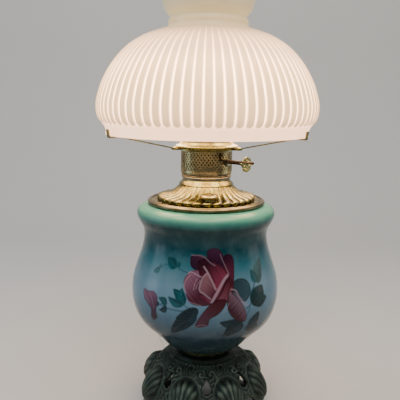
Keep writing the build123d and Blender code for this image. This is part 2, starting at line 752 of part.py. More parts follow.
with BuildPart() as wick_knob:
    with BuildSketch(shaft_plane.offset(knob_distance)):
        Circle(knob_radius)
        Circle(shaft_radius + slip, mode=Mode.SUBTRACT)
        with PolarLocations(knob_radius * 0.62, knob_hole_count):
            Circle(knob_hole_radius, mode=Mode.SUBTRACT)
        with PolarLocations(knob_radius + 0.4, knob_hole_count, start_angle=180 / knob_hole_count):
            Circle(1.1, mode=Mode.SUBTRACT)
    extrude(amount=knob_thickness)
    with BuildSketch(shaft_plane.offset(knob_distance - knob_hub_length)):
        Circle(knob_hub_radius)
        Circle(shaft_radius + slip, mode=Mode.SUBTRACT)
    extrude(amount=knob_hub_length)
save(wick_knob, "wick_knob")

bracket_inner = pinion_inner + pinion_width + lift_gap
bracket_outer = sleeve_radius - sleeve_wall - lift_gap
with BuildPart() as shaft_bracket:
    with BuildSketch(Plane(origin=(0, 0, drum_seat + drum_floor), x_dir=shaft_direction, z_dir=(0, 0, 1))):
        with Locations((bracket_inner, 0)):
            Rectangle(bracket_outer - 1.0 - bracket_inner, 6.0, align=(Align.MIN, Align.CENTER))
    extrude(amount=shaft_level + 3.0 - drum_seat - drum_floor)
    with BuildSketch(shaft_plane.offset(bracket_inner)):
        Circle(shaft_radius + slip)
    extrude(amount=bracket_outer - bracket_inner, mode=Mode.SUBTRACT)
save(shaft_bracket, "shaft_bracket")

with BuildPart() as shaft_gland:
    with BuildSketch(shaft_plane.offset(basket_bore - 0.8)):
        Circle(gland_radius)
    extrude(amount=basket_wall + 1.2)
    with BuildSketch(shaft_plane.offset(basket_radius + 0.2)):
        RegularPolygon(gland_width / 2, 6, major_radius=False)
    extrude(amount=gland_head)
    with BuildSketch(shaft_plane.offset(basket_bore - 2.0)):
        Circle(shaft_radius + slip)
    extrude(amount=10.0, mode=Mode.SUBTRACT)
save(shaft_gland, "shaft_gland")

# ================================================================ gallery with its lift
ledge_level = gallery_top - ledge_thickness
sleeve_top = ledge_level
with BuildPart() as lift_sleeve:
    tube(sleeve_radius, sleeve_radius - sleeve_wall, gallery_seat - sleeve_depth, sleeve_top)
    with BuildSketch(shaft_plane.offset(sleeve_radius - 6.0)):
        with Locations((gland_radius + lift_gap, 0)):
            Rectangle(sleeve_depth, 2 * (gland_radius + lift_gap), align=(Align.MAX, Align.CENTER))
    extrude(amount=12.0, mode=Mode.SUBTRACT)
    with BuildSketch(rod_plane.offset(sleeve_radius - 8.0)):
        with Locations((0, lift_rod_offset)):
            Circle(lift_rod_radius + slip)
    extrude(amount=14.0, mode=Mode.SUBTRACT)
save(lift_sleeve, "lift_sleeve")

rod_root = math.sqrt((sleeve_radius - sleeve_wall) ** 2 - lift_rod_offset ** 2) - 1.0
with BuildPart() as lift_rod:
    with BuildSketch(rod_plane.offset(rod_root)):
        with Locations((0, lift_rod_offset)):
            Circle(lift_rod_radius)
    extrude(amount=lift_rod_reach - rod_root)
    with Locations(rod_plane.offset(lift_rod_reach).location * Location((0, lift_rod_offset, 0))):
        Sphere(lift_rod_ball)
save(lift_rod, "lift_rod")

rim_centre = gallery_rim_radius - gallery_rim_roll
rim_level = gallery_seat + 0.42 * gallery_height
with BuildPart() as gallery_pan:
    with BuildSketch(Plane.XZ):
        with BuildLine():
            Polyline((sleeve_radius + lift_gap, ledge_level), (sleeve_radius + lift_gap, gallery_seat),
                     (gallery_body_radius, gallery_seat),
                     (gallery_body_radius, gallery_seat + arm_ring_thickness + 0.4),
                     (rim_centre, rim_level - gallery_rim_roll), (rim_centre, rim_level + gallery_rim_roll))
            ThreePointArc((rim_centre, rim_level + gallery_rim_roll),
                          (gallery_lip_radius + 1.2, rim_level + gallery_rim_roll + 1.0),
                          (gallery_lip_radius, gallery_top))
            Polyline((gallery_lip_radius, gallery_top), (gallery_bore, gallery_top),
                     (gallery_bore, ledge_level), (sleeve_radius + lift_gap, ledge_level))
        make_face()
        with Locations((rim_centre, rim_level)):
            Circle(gallery_rim_roll)
    revolve(axis=Axis.Z)
save(gallery_pan, "gallery_pan")

with BuildPart() as chimney_holder:
    tube(holder_bore + holder_wall, holder_bore, gallery_top, gallery_top + holder_height)
    with BuildSketch(Plane.XY.offset(gallery_top + 2.0)):
        with PolarLocations(holder_bore, holder_fingers):
            Rectangle(4 * holder_wall, holder_slot)
    extrude(amount=holder_height, mode=Mode.SUBTRACT)
save(chimney_holder, "chimney_holder")

# ================================================================ shade holder
arm_ring_radius = gallery_body_radius + slip + arm_ring_width
with BuildPart() as shade_holder_ring:
    tube(arm_ring_radius, gallery_body_radius + slip, gallery_seat, arm_level)
    with BuildSketch(Plane.XY.offset(gallery_seat)):
        with PolarLocations(arm_ring_radius - 1.0, arm_count, start_angle=arm_first_angle):
            Rectangle(9.0, arm_width + 2.0, align=(Align.MIN, Align.CENTER))
        with PolarLocations(arm_ring_radius + 4.0, arm_count, start_angle=arm_first_angle):
            Circle(rivet_radius + slip, mode=Mode.SUBTRACT)
    extrude(amount=arm_ring_thickness)
save(shade_holder_ring, "shade_holder_ring")

rivet_spot = arm_ring_radius + 4.0
arm_names = ("shade_arm_right", "shade_arm_back", "shade_arm_left")
foot_inner = shade_fitter_radius - 8.0
foot_outer = foot_inner + arm_foot_length
for number, arm_name in enumerate(arm_names):
    arm_angle = arm_first_angle + number * 360 / arm_count
    side = Vector(0, 1, 0).rotate(Axis.Z, arm_angle)
    across = Vector(1, 0, 0).rotate(Axis.Z, arm_angle)
    with BuildPart() as shade_arm:
        with BuildSketch(Plane(origin=(0, 0, 0), x_dir=across, z_dir=-side)):
            with BuildLine():
                top = shade_seat
                low = top - arm_thickness
                Polyline((arm_ring_radius + 0.5, arm_level), (rivet_spot + 4.5, arm_level),
                         (foot_inner, low), (foot_outer + arm_thickness, low),
                         (foot_outer + 2 * arm_thickness, top + arm_tip_height),
                         (foot_outer + arm_thickness, top + arm_tip_height),
                         (foot_outer + 0.2, top), (foot_inner - 0.5, top),
                         (rivet_spot + 4.0, arm_level + arm_thickness),
                         (arm_ring_radius + 0.5, arm_level + arm_thickness), close=True)
            make_face()
        extrude(amount=arm_width / 2, both=True)
        with BuildSketch(Plane(origin=(rivet_spot * across.X, rivet_spot * across.Y, arm_level))):
            Circle(rivet_radius + slip)
        extrude(amount=arm_thickness, mode=Mode.SUBTRACT)
    save(shade_arm, arm_name)

with BuildPart() as arm_rivets:
    with BuildSketch(Plane.XY.offset(gallery_seat)):
        with PolarLocations(rivet_spot, arm_count, start_angle=arm_first_angle):
            Circle(rivet_radius)
    extrude(amount=arm_ring_thickness + arm_thickness)
    with BuildSketch(Plane.XY.offset(arm_level + arm_thickness)):
        with PolarLocations(rivet_spot, arm_count, start_angle=arm_first_angle):
            Circle(2 * rivet_radius)
    extrude(amount=rivet_head, taper=30)
save(arm_rivets, "arm_rivets")


# ================================================================ chimney
def chimney_side(inset):
    """Outline points of the chimney's side, from its base to its shoulder, moved inwards."""
    bulge_level = chimney_seat + chimney_bulge_height
    shoulder_level = chimney_seat + chimney_shoulder_height
    return [
        (chimney_base_radius - inset, chimney_seat + chimney_base_height),
        (chimney_bulge_radius - 2.0 - inset, bulge_level - 12.0),
        (chimney_bulge_radius - inset, bulge_level),
        (chimney_bulge_radius - 3.5 - inset, bulge_level + 18.0),
        (chimney_top_radius + 3.0 - inset, shoulder_level - 12.0),
        (chimney_top_radius + 1.0 - inset, shoulder_level + 8.0),
    ]


with BuildPart() as chimney:
    base_inner = chimney_base_radius - chimney_wall
    chimney_top = chimney_seat + chimney_height
    with BuildSketch(Plane.XZ):
        with BuildLine():
            outer_side = chimney_side(0)
            inner_side = chimney_side(chimney_wall)
            Polyline(inner_side[0], (base_inner, chimney_seat), (chimney_base_radius, chimney_seat),
                     outer_side[0])
            Spline(*outer_side)
            Polyline(outer_side[-1], (chimney_top_radius, chimney_top),
                     (chimney_top_radius - chimney_wall, chimney_top), inner_side[-1])
            Spline(*reversed(inner_side))
        make_face()
    revolve(axis=Axis.Z)
save(chimney, "chimney")


# ================================================================ shade
def inset_outline(points, distance):
    """Outline points moved inwards, square to the outline."""
    moved = []
    for index, (radius, level) in enumerate(points):
        before = points[max(index - 1, 0)]
        after = points[min(index + 1, len(points) - 1)]
        run = Vector(after[0] - before[0], after[1] - before[1]).normalized()
        moved.append((radius - run.Y * distance, level + run.X * distance))
    return moved


band_top = shade_seat + shade_band_height
widest_level = shade_seat + shade_widest_height
dome_top = shade_seat + shade_dome_height
dome_end = math.asin((dome_top - widest_level) / shade_dome_rise)
dome_points = [(shade_radius - 4.6, band_top)]
for share in (0.0, 0.18, 0.38, 0.56, 0.74, 0.88, 1.0):
    angle = share * dome_end
    dome_points.append((shade_dome_centre + (shade_radius - shade_dome_centre) * math.cos(angle),
                        widest_level + shade_dome_rise * math.sin(angle)))
rib_shares = (0.9, 1.0, 1.0, 1.0, 1.0, 0.9, 0.7, 0.35)

neck_top_level = dome_top + 4.0 + shade_neck_height
crease_level = neck_top_level + 6.0
shade_top = shade_seat + shade_height
bulge_level = (crease_level + shade_top) / 2


def bulge_side(inset):
    """Outline points of the bulge above the neck, from the crease to the mouth, moved inwards."""
    return [
        (shade_crease_radius - inset, crease_level - 1.0),
        (shade_crease_radius + 2.3 - inset, crease_level + 3.0),
        (shade_bulge_radius - 2.6 - inset, bulge_level - 10.0),
        (shade_bulge_radius - inset, bulge_level),
        (shade_bulge_radius - 2.8 - inset, shade_top - 8.0),
        (shade_mouth_radius - inset, shade_top),
    ]


with BuildPart() as shade:
    loft([scalloped_sketch(level, radius, shade_ribs, share * shade_rib_depth)
          for (radius, level), share in zip(dome_points, rib_shares)], ruled=True)
    last_radius, last_level = dome_points[-1]
    neck_foot = last_radius - rib_shares[-1] * shade_rib_depth
    with BuildSketch(Plane.XZ):
        with BuildLine():
            Polyline((0, shade_seat), (shade_fitter_radius, shade_seat),
                     (shade_fitter_radius, shade_seat + 0.4 * shade_band_height))
            Spline((shade_fitter_radius, shade_seat + 0.4 * shade_band_height),
                   (dome_points[0][0] - shade_rib_depth, band_top), tangents=((0.15, 1), (0.8, 1)))
            Polyline((dome_points[0][0] - shade_rib_depth, band_top), (0, band_top), (0, shade_seat))
        make_face()
        with BuildLine():
            Line((0, last_level), (neck_foot, last_level))
            ThreePointArc((neck_foot, last_level),
                          ((neck_foot + shade_neck_radius) / 2 - 0.5, dome_top + 3.2),
                          (shade_neck_radius, dome_top + 4.0))
            ThreePointArc((shade_neck_radius, dome_top + 4.0),
                          (shade_neck_radius + 0.9, neck_top_level - shade_neck_height / 2),
                          (shade_neck_radius, neck_top_level))
            Line((shade_neck_radius, neck_top_level), (shade_crease_radius, crease_level - 1.0))
            Spline(*bulge_side(0))
            Polyline((shade_mouth_radius, shade_top), (0, shade_top), (0, last_level))
        make_face()
    revolve(axis=Axis.Z)
    inner_dome = inset_outline(dome_points, shade_wall + shade_rib_depth)
    neck_bore = shade_neck_radius - shade_wall
    with BuildSketch(Plane.XZ):
        with BuildLine():
            Polyline((0, shade_seat), (shade_fitter_radius - shade_wall, shade_seat),
                     (shade_fitter_radius - shade_wall, shade_seat + 0.4 * shade_band_height))
            Spline((shade_fitter_radius - shade_wall, shade_seat + 0.4 * shade_band_height), *inner_dome,
                   (neck_bore, dome_top + 2.0), tangents=((0.1, 1), (-0.6, 1)))
            Line((neck_bore, dome_top + 2.0), (shade_crease_radius - shade_wall, crease_level - 1.0))
            Spline(*bulge_side(shade_wall))
            Polyline((shade_mouth_radius - shade_wall, shade_top), (0, shade_top), (0, shade_seat))
        make_face()
    revolve(axis=Axis.Z, mode=Mode.SUBTRACT)
save(shade, "shade")

# ================================================================ electric fitting
adapter_radius = draft_radius - draft_wall - slip
with BuildPart() as socket_adapter:
    tube(adapter_radius, lead_radius + lift_gap, socket_seat - adapter_depth, socket_seat)
    tube(draft_radius, lead_radius + lift_gap, socket_seat, socket_seat + adapter_flange)
save(socket_adapter, "socket_adapter")

shell_seat = socket_seat + adapter_flange
shell_top = shell_seat + socket_height
liner_radius = socket_radius - socket_wall
with BuildPart() as socket_shell:
    tube(socket_radius, lead_radius + lift_gap, shell_seat, shell_seat + socket_wall)
    tube(socket_radius, liner_radius, shell_seat + socket_wall, shell_top)
save(socket_shell, "socket_shell")

liner_seat = shell_seat + socket_wall
liner_top = shell_top - 1.0
with BuildPart() as socket_liner:
    tube(liner_radius - slip, lead_radius + lift_gap, liner_seat, liner_top - bulb_cap_height)
    tube(liner_radius - slip, socket_bore, liner_top - bulb_cap_height, liner_top)
save(socket_liner, "socket_liner")

contact_level = liner_top - bulb_cap_height
with BuildPart() as socket_contact:
    with BuildSketch(Plane.XY.offset(contact_level - 3.0)):
        Circle(lead_radius)
    extrude(amount=3.0)
    with BuildSketch(Plane.XY.offset(contact_level)):
        Circle(lead_radius + 1.0)
    extrude(amount=0.8)
save(socket_contact, "socket_contact")

bulb_seat = contact_level + 0.8
bulb_cap_top = bulb_seat + bulb_cap_height
with BuildPart() as bulb_cap:
    with BuildSketch(Plane.XZ):
        Polygon((0, bulb_seat), (lead_radius, bulb_seat), (lead_radius, bulb_seat + 0.6),
                (bulb_cap_radius, bulb_seat + 3.0), (bulb_cap_radius, bulb_cap_top), (0, bulb_cap_top),
                align=None)
    revolve(axis=Axis.Z)
save(bulb_cap, "bulb_cap")


def bulb_outline(inset):
    """Half outline of the bulb's glass, moved inwards."""
    neck = bulb_cap_radius - 0.2 - inset
    top = bulb_cap_top + bulb_height - inset
    with BuildLine() as outline:
        Line((0, bulb_cap_top), (neck, bulb_cap_top))
        Spline((neck, bulb_cap_top),
               (0.62 * bulb_radius - inset, bulb_cap_top + 0.15 * bulb_height),
               (bulb_radius - inset, bulb_cap_top + 0.42 * bulb_height),
               (0.55 * bulb_radius - inset, bulb_cap_top + 0.84 * bulb_height), (0, top))
        Line((0, top), (0, bulb_cap_top))
    make_face(outline.edges())


with BuildPart() as bulb_glass:
    with BuildSketch(Plane.XZ):
        bulb_outline(0)
    revolve(axis=Axis.Z)
    with BuildSketch(Plane.XZ):
        bulb_outline(bulb_wall)
    revolve(axis=Axis.Z, mode=Mode.SUBTRACT)
save(bulb_glass, "bulb_glass")

with BuildPart() as bulb_filament:
    tube(2.2, 0.8, bulb_cap_top, bulb_cap_top + 14.0)
    with BuildSketch(Plane.XY.offset(bulb_cap_top + 12.0)):
        with PolarLocations(2.6, 4):
            Circle(0.9)
    extrude(amount=30.0)
save(bulb_filament, "bulb_filament")

lead_points = [
    Vector(0, 0, contact_level - 3.0),
    Vector(0, 0, roof_level - 42.0),
    exit_direction * 34.0 + Vector(0, 0, exit_height),
    exit_direction * (foot_radius - 2 * foot_wall) + Vector(0, 0, exit_height),
]
with BuildPart() as inner_lead:
    with BuildLine() as lead_line:
        FilletPolyline(*lead_points, radius=(22.0, 14.0))
    with BuildSketch(Plane(origin=lead_points[0], z_dir=(0, 0, -1))):
        Circle(lead_radius)
    sweep()
save(inner_lead, "inner_lead")

# ================================================================ cord exit, cord, coil and plug
bushing_inner = foot_radius - 2 * foot_wall
bushing_outer = rim_radius + 0.4
with BuildPart() as cord_bushing:
    with BuildSketch(exit_plane.offset(bushing_inner)):
        Circle(bushing_radius)
    extrude(amount=bushing_outer - bushing_inner)
    with BuildSketch(exit_plane.offset(bushing_outer)):
        Circle(bushing_head_radius)
    extrude(amount=bushing_head)
save(cord_bushing, "cord_bushing")

relief_start = bushing_outer + bushing_head
with BuildPart() as cord_relief:
    with BuildSketch(exit_plane.offset(relief_start)):
        Circle(relief_root_radius)
    with BuildSketch(exit_plane.offset(relief_start + relief_length)):
        Circle(relief_tip_radius)
    loft()
save(cord_relief, "cord_relief")


def corner_radii(points):
    """Largest tangent arcs that the runs of a cord's route allow."""
    radii = []
    for before, corner, after in zip(points, points[1:], points[2:]):
        into = corner - before
        out = after - corner
        half_turn = math.radians(into.get_angle(out)) / 2
        radii.append(0.45 * min(into.length, out.length) / math.tan(half_turn))
    return radii


def lay_cord(points):
    """Tube along a route of straight runs joined by tangent arcs."""
    radii = corner_radii(points)
    with BuildLine() as route:
        FilletPolyline(*points, radius=radii)
    with BuildSketch(Plane(origin=points[0], z_dir=points[1] - points[0])) as section:
        Circle(cord_radius)
    sweep(section.sketch, path=route.wire())
    print("radii", [round(radius) for radius in radii], "length", round(route.wire().length, 1))
    return route.wire().length


coil_outer_turn = coil_radius + coil_width / 2 - cord_radius
cord_start = exit_direction * (relief_start + relief_length) + Vector(0, 0, exit_height)
cord_points = [
    cord_start,
    exit_direction * (relief_start + relief_length + 18.0) + Vector(0, 0, exit_height),
    Vector(-60.5, 137.0, cord_level + 7.0),
    Vector(-61.0, 161.0, cord_level + 0.4),
    Vector(-63.5, 188.0, cord_level),
    Vector(-73.5, 216.0, cord_level),
    Vector(-77.0, 243.0, cord_level),
    Vector(-62.0, 264.0, cord_level),
    Vector(-36.0, 268.0, cord_level),
    Vector(-13.0, 254.0, cord_level),
    Vector(-5.5, 228.0, cord_level),
    Vector(coil_x - coil_outer_turn + 1.5, 202.0, cord_level),
    Vector(coil_x - coil_outer_turn, coil_y + 12.0, cord_level),
]
with BuildPart() as cord:
    cord_length = lay_cord(cord_points)
save(cord, "cord")

with BuildPart() as cord_coil:
    with BuildSketch(Plane(origin=(coil_x, coil_y, 0), x_dir=(1, 0, 0), z_dir=(0, -1, 0))):
        with Locations((coil_radius, cord_lift + coil_height / 2)):
            RectangleRounded(coil_width, coil_height, cord_radius)
    revolve(axis=Axis((coil_x, coil_y, 0), (0, 0, 1)))
save(cord_coil, "cord_coil")

plug_middle = cord_lift + plug_height / 2
tail_points = [
    Vector(coil_x + 29.4, coil_y + 20.0, cord_level + 2 * cord_radius),
    Vector(46.0, 184.0, cord_level + 4.0),
    Vector(plug_x, plug_y - plug_relief_length - 16.0, plug_middle),
    Vector(plug_x, plug_y - plug_relief_length, plug_middle),
]
with BuildPart() as cord_tail:
    tail_length = lay_cord(tail_points)
save(cord_tail, "cord_tail")

plug_plane = Plane(origin=(plug_x, plug_y, plug_middle), x_dir=(1, 0, 0), z_dir=(0, 1, 0))
with BuildPart() as plug_body:
    with BuildSketch(plug_plane):
        RectangleRounded(plug_width * 0.72, plug_height * 0.8, 5.0)
    with BuildSketch(plug_plane.offset(plug_length * 0.45)):
        RectangleRounded(plug_width, plug_height, 6.0)
    loft()
    with BuildSketch(plug_plane.offset(plug_length * 0.45)):
        RectangleRounded(plug_width, plug_height, 6.0)
    extrude(amount=plug_length * 0.55)
save(plug_body, "plug_body")

with BuildPart() as plug_relief:
    with BuildSketch(plug_plane.offset(-plug_relief_length)):
        Circle(relief_tip_radius)
    with BuildSketch(plug_plane):
        Circle(relief_root_radius)
    loft()
save(plug_relief, "plug_relief")

with BuildPart() as plug_pins:
    with BuildSketch(plug_plane.offset(plug_length)):
        with GridLocations(pin_spacing, 0, 2, 1):
            Rectangle(pin_thickness, pin_width)
    extrude(amount=pin_length)
save(plug_pins, "plug_pins")

coil_turns = 8
coil_length = coil_turns * 2 * math.pi * coil_radius
print("whole cord", round(cord_length + tail_length + coil_length + relief_length + plug_relief_length))
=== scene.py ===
import json
import math

import bmesh
import bpy
import numpy as np
from bpy.props import FloatProperty, FloatVectorProperty, IntProperty, PointerProperty
from mathutils import Matrix, Vector


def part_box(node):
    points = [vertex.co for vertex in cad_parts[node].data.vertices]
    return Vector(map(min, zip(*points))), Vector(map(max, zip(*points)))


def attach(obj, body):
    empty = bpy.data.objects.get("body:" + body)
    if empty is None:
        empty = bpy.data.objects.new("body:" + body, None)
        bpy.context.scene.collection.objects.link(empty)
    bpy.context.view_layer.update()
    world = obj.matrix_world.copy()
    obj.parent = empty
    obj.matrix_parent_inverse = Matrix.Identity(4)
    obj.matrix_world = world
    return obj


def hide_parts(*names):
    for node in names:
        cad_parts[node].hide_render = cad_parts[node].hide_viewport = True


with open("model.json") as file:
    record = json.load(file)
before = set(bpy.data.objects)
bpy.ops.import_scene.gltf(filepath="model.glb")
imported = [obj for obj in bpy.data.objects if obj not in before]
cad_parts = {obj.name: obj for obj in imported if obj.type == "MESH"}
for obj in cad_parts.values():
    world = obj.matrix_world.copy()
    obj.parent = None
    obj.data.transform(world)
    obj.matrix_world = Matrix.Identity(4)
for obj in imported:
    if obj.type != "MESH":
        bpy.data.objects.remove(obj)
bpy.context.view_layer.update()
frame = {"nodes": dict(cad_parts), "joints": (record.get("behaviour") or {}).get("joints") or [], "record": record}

bl_info = {
    "name": "Vase Oil Lamp",
    "version": (1, 0, 0),
    "blender": (4, 5, 0),
    "location": "View3D > Sidebar > Lamp",
    "description": "Dresses a central-draught vase lamp with its glass, brass, casting and cord",
    "category": "Object",
}

MM = 0.001
ON_AXIS = 1e-6           # metres: an outline's point that is nearer makes no ring
BODIES = {node: body for body, nodes in frame["record"]["behaviour"]["bodies"].items() for node in nodes}
JOINTS = {joint["name"]: joint for joint in frame["joints"]}


# ---------------------------------------------------------------- outlines
def levels(node):
    """Lowest and highest level of a node."""
    low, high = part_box(node)
    return low.z, high.z


def raised(points, level):
    """Outline in metres over a level, from points of radius and height in millimetres."""
    return [(radius * MM, level + height * MM) for radius, height in points]


def curve_through(points, steps=8, closed=False):
    """Smooth line through a few points, open or closed."""
    given = np.array(points, float)
    if closed:
        given = np.vstack([given[-1:], given, given[:2]])
    else:
        given = np.vstack([2 * given[0] - given[1], given, 2 * given[-1] - given[-2]])
    line = []
    for a, b, c, d in zip(given, given[1:], given[2:], given[3:]):
        for t in np.arange(steps) / steps:
            line.append(0.5 * (2 * b + (c - a) * t + (2 * a - 5 * b + 4 * c - d) * t ** 2
                               + (3 * b - a - 3 * c + d) * t ** 3))
    return np.array(line if closed else [*line, given[-2]])


def arc(radius, level, size, start, end, steps=8):
    """Outline points round a circle in the outline's plane, from one angle to another in degrees."""
    return [(radius + size * math.cos(a), level + size * math.sin(a))
            for a in np.radians(np.linspace(start, end, steps + 1))]


def directions(line):
    """Direction of a line at each of its points."""
    run = np.gradient(line, axis=0)
    return run / np.linalg.norm(run, axis=1)[:, None]


def inset(line, distance):
    """Outline moved square to itself, inwards for a side that runs upwards."""
    run = directions(line)
    return line + distance * np.stack([-run[:, 1], run[:, 0]], axis=1)


def run_along(line):
    """Distance along a line at each of its points."""
    return np.concatenate([[0.0], np.cumsum(np.linalg.norm(np.diff(line, axis=0), axis=1))])


def points_at(line, run, places):
    """Points of a line at other distances along it."""
    return np.stack([np.interp(places, run, line[:, 0]), np.interp(places, run, line[:, 1])], axis=1)


def soft_step(low, high, value):
    """Smooth rise from 0 at low to 1 at high."""
    share = np.clip((value - low) / (high - low), 0, 1)
    return share * share * (3 - 2 * share)


# ---------------------------------------------------------------- meshes
def new_object(name, mesh):
    """Link a mesh to the scene as an object."""
    piece = bpy.data.objects.new(name, mesh)
    bpy.context.scene.collection.objects.link(piece)
    return piece


def solid(name, vertices, faces, sharp=35.0):
    """Object from vertices and faces, its normals outwards and its edges softened below an angle."""
    mesh = bpy.data.meshes.new(name)
    mesh.from_pydata([tuple(v) for v in vertices], [], faces)
    smooth_out(mesh, sharp)
    return new_object(name, mesh)


def smooth_out(mesh, sharp=35.0, merge=1e-7):
    """Close a mesh's seams, point its faces outwards and shade it smooth up to an angle in degrees."""
    shape = bmesh.new()
    shape.from_mesh(mesh)
    bmesh.ops.remove_doubles(shape, verts=shape.verts, dist=merge)
    bmesh.ops.recalc_face_normals(shape, faces=shape.faces)
    shape.to_mesh(mesh)
    shape.free()
    mesh.shade_smooth()
    mesh.set_sharp_from_angle(angle=math.radians(sharp))


def lathe(name, outline, steps=160, shape=None, angles=None, sharp=35.0):
    """Solid turned from an outline of (radius, level) pairs that runs round its section.

    shape(angle, number) may return a radius, level and turn to add at one outline point.
    """
    if angles is None:
        angles = np.arange(steps) * 2 * math.pi / steps
    steps = len(angles)
    vertices, rings, faces = [], [], []
    for number, (radius, level) in enumerate(outline):
        if radius < ON_AXIS:
            rings.append([len(vertices)] * steps)
            vertices.append((0.0, 0.0, level))
            continue
        rings.append(list(range(len(vertices), len(vertices) + steps)))
        out, up, turn = shape(angles, number) if shape else (0.0, 0.0, 0.0)
        ring = np.stack([(radius + out) * np.cos(angles + turn), (radius + out) * np.sin(angles + turn),
                         level + up + 0.0 * angles], axis=1)
        vertices.extend(ring)
    ends_on_axis = outline[0][0] < ON_AXIS and outline[-1][0] < ON_AXIS
    for low, high in zip(rings, rings[1:] if ends_on_axis else rings[1:] + rings[:1]):
        for i in range(steps):
            j = (i + 1) % steps
            corners = (low[i], low[j], high[j], high[i])
            faces.append(tuple(dict.fromkeys(corners)))
    return solid(name, vertices, faces, sharp)


def join(name, *pieces, sharp=35.0):
    """One object from several."""
    shape = bmesh.new()
    for piece in pieces:
        shape.from_mesh(piece.data)
        bpy.data.objects.remove(piece)
    mesh = bpy.data.meshes.new(name)
    shape.to_mesh(mesh)
    shape.free()
    mesh.shade_smooth()
    mesh.set_sharp_from_angle(angle=math.radians(sharp))
    return new_object(name, mesh)


def cut(piece, cutter):
    """Take one closed piece out of another."""
    modifier = piece.modifiers.new("Cut", "BOOLEAN")
    modifier.operation, modifier.solver, modifier.use_self = "DIFFERENCE", "EXACT", True
    modifier.object = cutter
    piece = plain_mesh(piece)
    bpy.data.objects.remove(cutter)
    return piece


def plain_mesh(piece, sharp=35.0, merge=1e-7):
    """The piece with its modifiers or curve turned into a plain mesh, and the old object removed."""
    bpy.context.view_layer.update()
    mesh = bpy.data.meshes.new_from_object(piece.evaluated_get(bpy.context.evaluated_depsgraph_get()))
    name = piece.name
    bpy.data.objects.remove(piece)
    mesh.name = name
    smooth_out(mesh, sharp, merge)
    return new_object(name, mesh)


def add_attribute(piece, name, values):
    """Store a number for each vertex."""
    attribute = piece.data.attributes.new(name, "FLOAT", "POINT")
    attribute.data.foreach_set("value", np.asarray(values, np.float32))


def points_of(piece):
    """Vertices of a piece as an array."""
    flat = np.zeros(len(piece.data.vertices) * 3, np.float32)
    piece.data.vertices.foreach_get("co", flat)
    return flat.reshape(-1, 3).astype(float)


def dress(piece, material, *nodes, slot=None):
    """Give a piece its material and let it stand for CAD nodes, on their body."""
    piece.data.materials.clear()
    piece.data.materials.append(material)
    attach(piece, BODIES[nodes[0]])
    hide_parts(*nodes)
    return piece


def dress_node(node, material):
    """Give a node that is shown as it was made its material."""
    piece = frame["nodes"][node]
    piece.data.materials.clear()
    piece.data.materials.append(material)


# ---------------------------------------------------------------- geometry trees
def geometry_tree(name, **inputs):
    """Empty geometry tree with a geometry in, a geometry out and named inputs."""
    tree = bpy.data.node_groups.new(name, "GeometryNodeTree")
    tree.interface.new_socket("Geometry", in_out="INPUT", socket_type="NodeSocketGeometry")
    tree.interface.new_socket("Geometry", in_out="OUTPUT", socket_type="NodeSocketGeometry")
    for label, kind in inputs.items():
        tree.interface.new_socket(label, in_out="INPUT", socket_type=kind)
    return tree


def node_in(tree, kind, values=(), **settings):
    """Add a node, set what it needs and feed its inputs, given by number or name."""
    node = tree.nodes.new(kind)
    for key, value in settings.items():
        setattr(node, key, value)
    for key, value in dict(values).items():
        if isinstance(value, bpy.types.NodeSocket):
            tree.links.new(value, node.inputs[key])
        else:
            node.inputs[key].default_value = value
    return node


def math_in(tree, operation, *values, clamp=False):
    """Math node on two or three values."""
    return node_in(tree, "ShaderNodeMath", enumerate(values), operation=operation, use_clamp=clamp).outputs[0]


def ring_rows_tree():
    """Copies of the object's own mesh in rows round the lamp's axis, each facing outwards."""
    tree = geometry_tree("Rows Round A Ring", Count="NodeSocketInt", Rows="NodeSocketInt",
                         Radius="NodeSocketFloat", Level="NodeSocketFloat", Pitch="NodeSocketFloat",
                         Turn="NodeSocketFloat", Material="NodeSocketMaterial")
    given = tree.nodes.new("NodeGroupInput").outputs
    total = math_in(tree, "MULTIPLY", given["Count"], given["Rows"])
    points = node_in(tree, "GeometryNodePoints", {"Count": total})
    index = tree.nodes.new("GeometryNodeInputIndex").outputs[0]
    row = math_in(tree, "FLOOR", math_in(tree, "DIVIDE", math_in(tree, "ADD", index, 0.5), given["Count"]))
    share = math_in(tree, "DIVIDE", index, given["Count"])
    angle = math_in(tree, "MULTIPLY_ADD", share, 2 * math.pi, given["Turn"])
    across = math_in(tree, "MULTIPLY", math_in(tree, "COSINE", angle), given["Radius"])
    along = math_in(tree, "MULTIPLY", math_in(tree, "SINE", angle), given["Radius"])
    up = math_in(tree, "MULTIPLY_ADD", row, given["Pitch"], given["Level"])
    place = node_in(tree, "ShaderNodeCombineXYZ", {0: across, 1: along, 2: up}).outputs[0]
    facing = node_in(tree, "ShaderNodeCombineXYZ", {2: angle}).outputs[0]
    copies = node_in(tree, "GeometryNodeInstanceOnPoints", {
        "Points": points.outputs[0], "Instance": given["Geometry"], "Rotation": facing})
    tree.links.new(node_in(tree, "GeometryNodeSetPosition", {
        "Geometry": points.outputs[0], "Position": place}).outputs[0], copies.inputs["Points"])
    real = node_in(tree, "GeometryNodeRealizeInstances", {0: copies.outputs[0]})
    welded = node_in(tree, "GeometryNodeMergeByDistance", {"Geometry": real.outputs[0], "Distance": 1e-6})
    painted = node_in(tree, "GeometryNodeSetMaterial", {
        "Geometry": welded.outputs[0], "Material": given["Material"]})
    node_in(tree, "NodeGroupOutput", {0: painted.outputs[0]})
    return tree


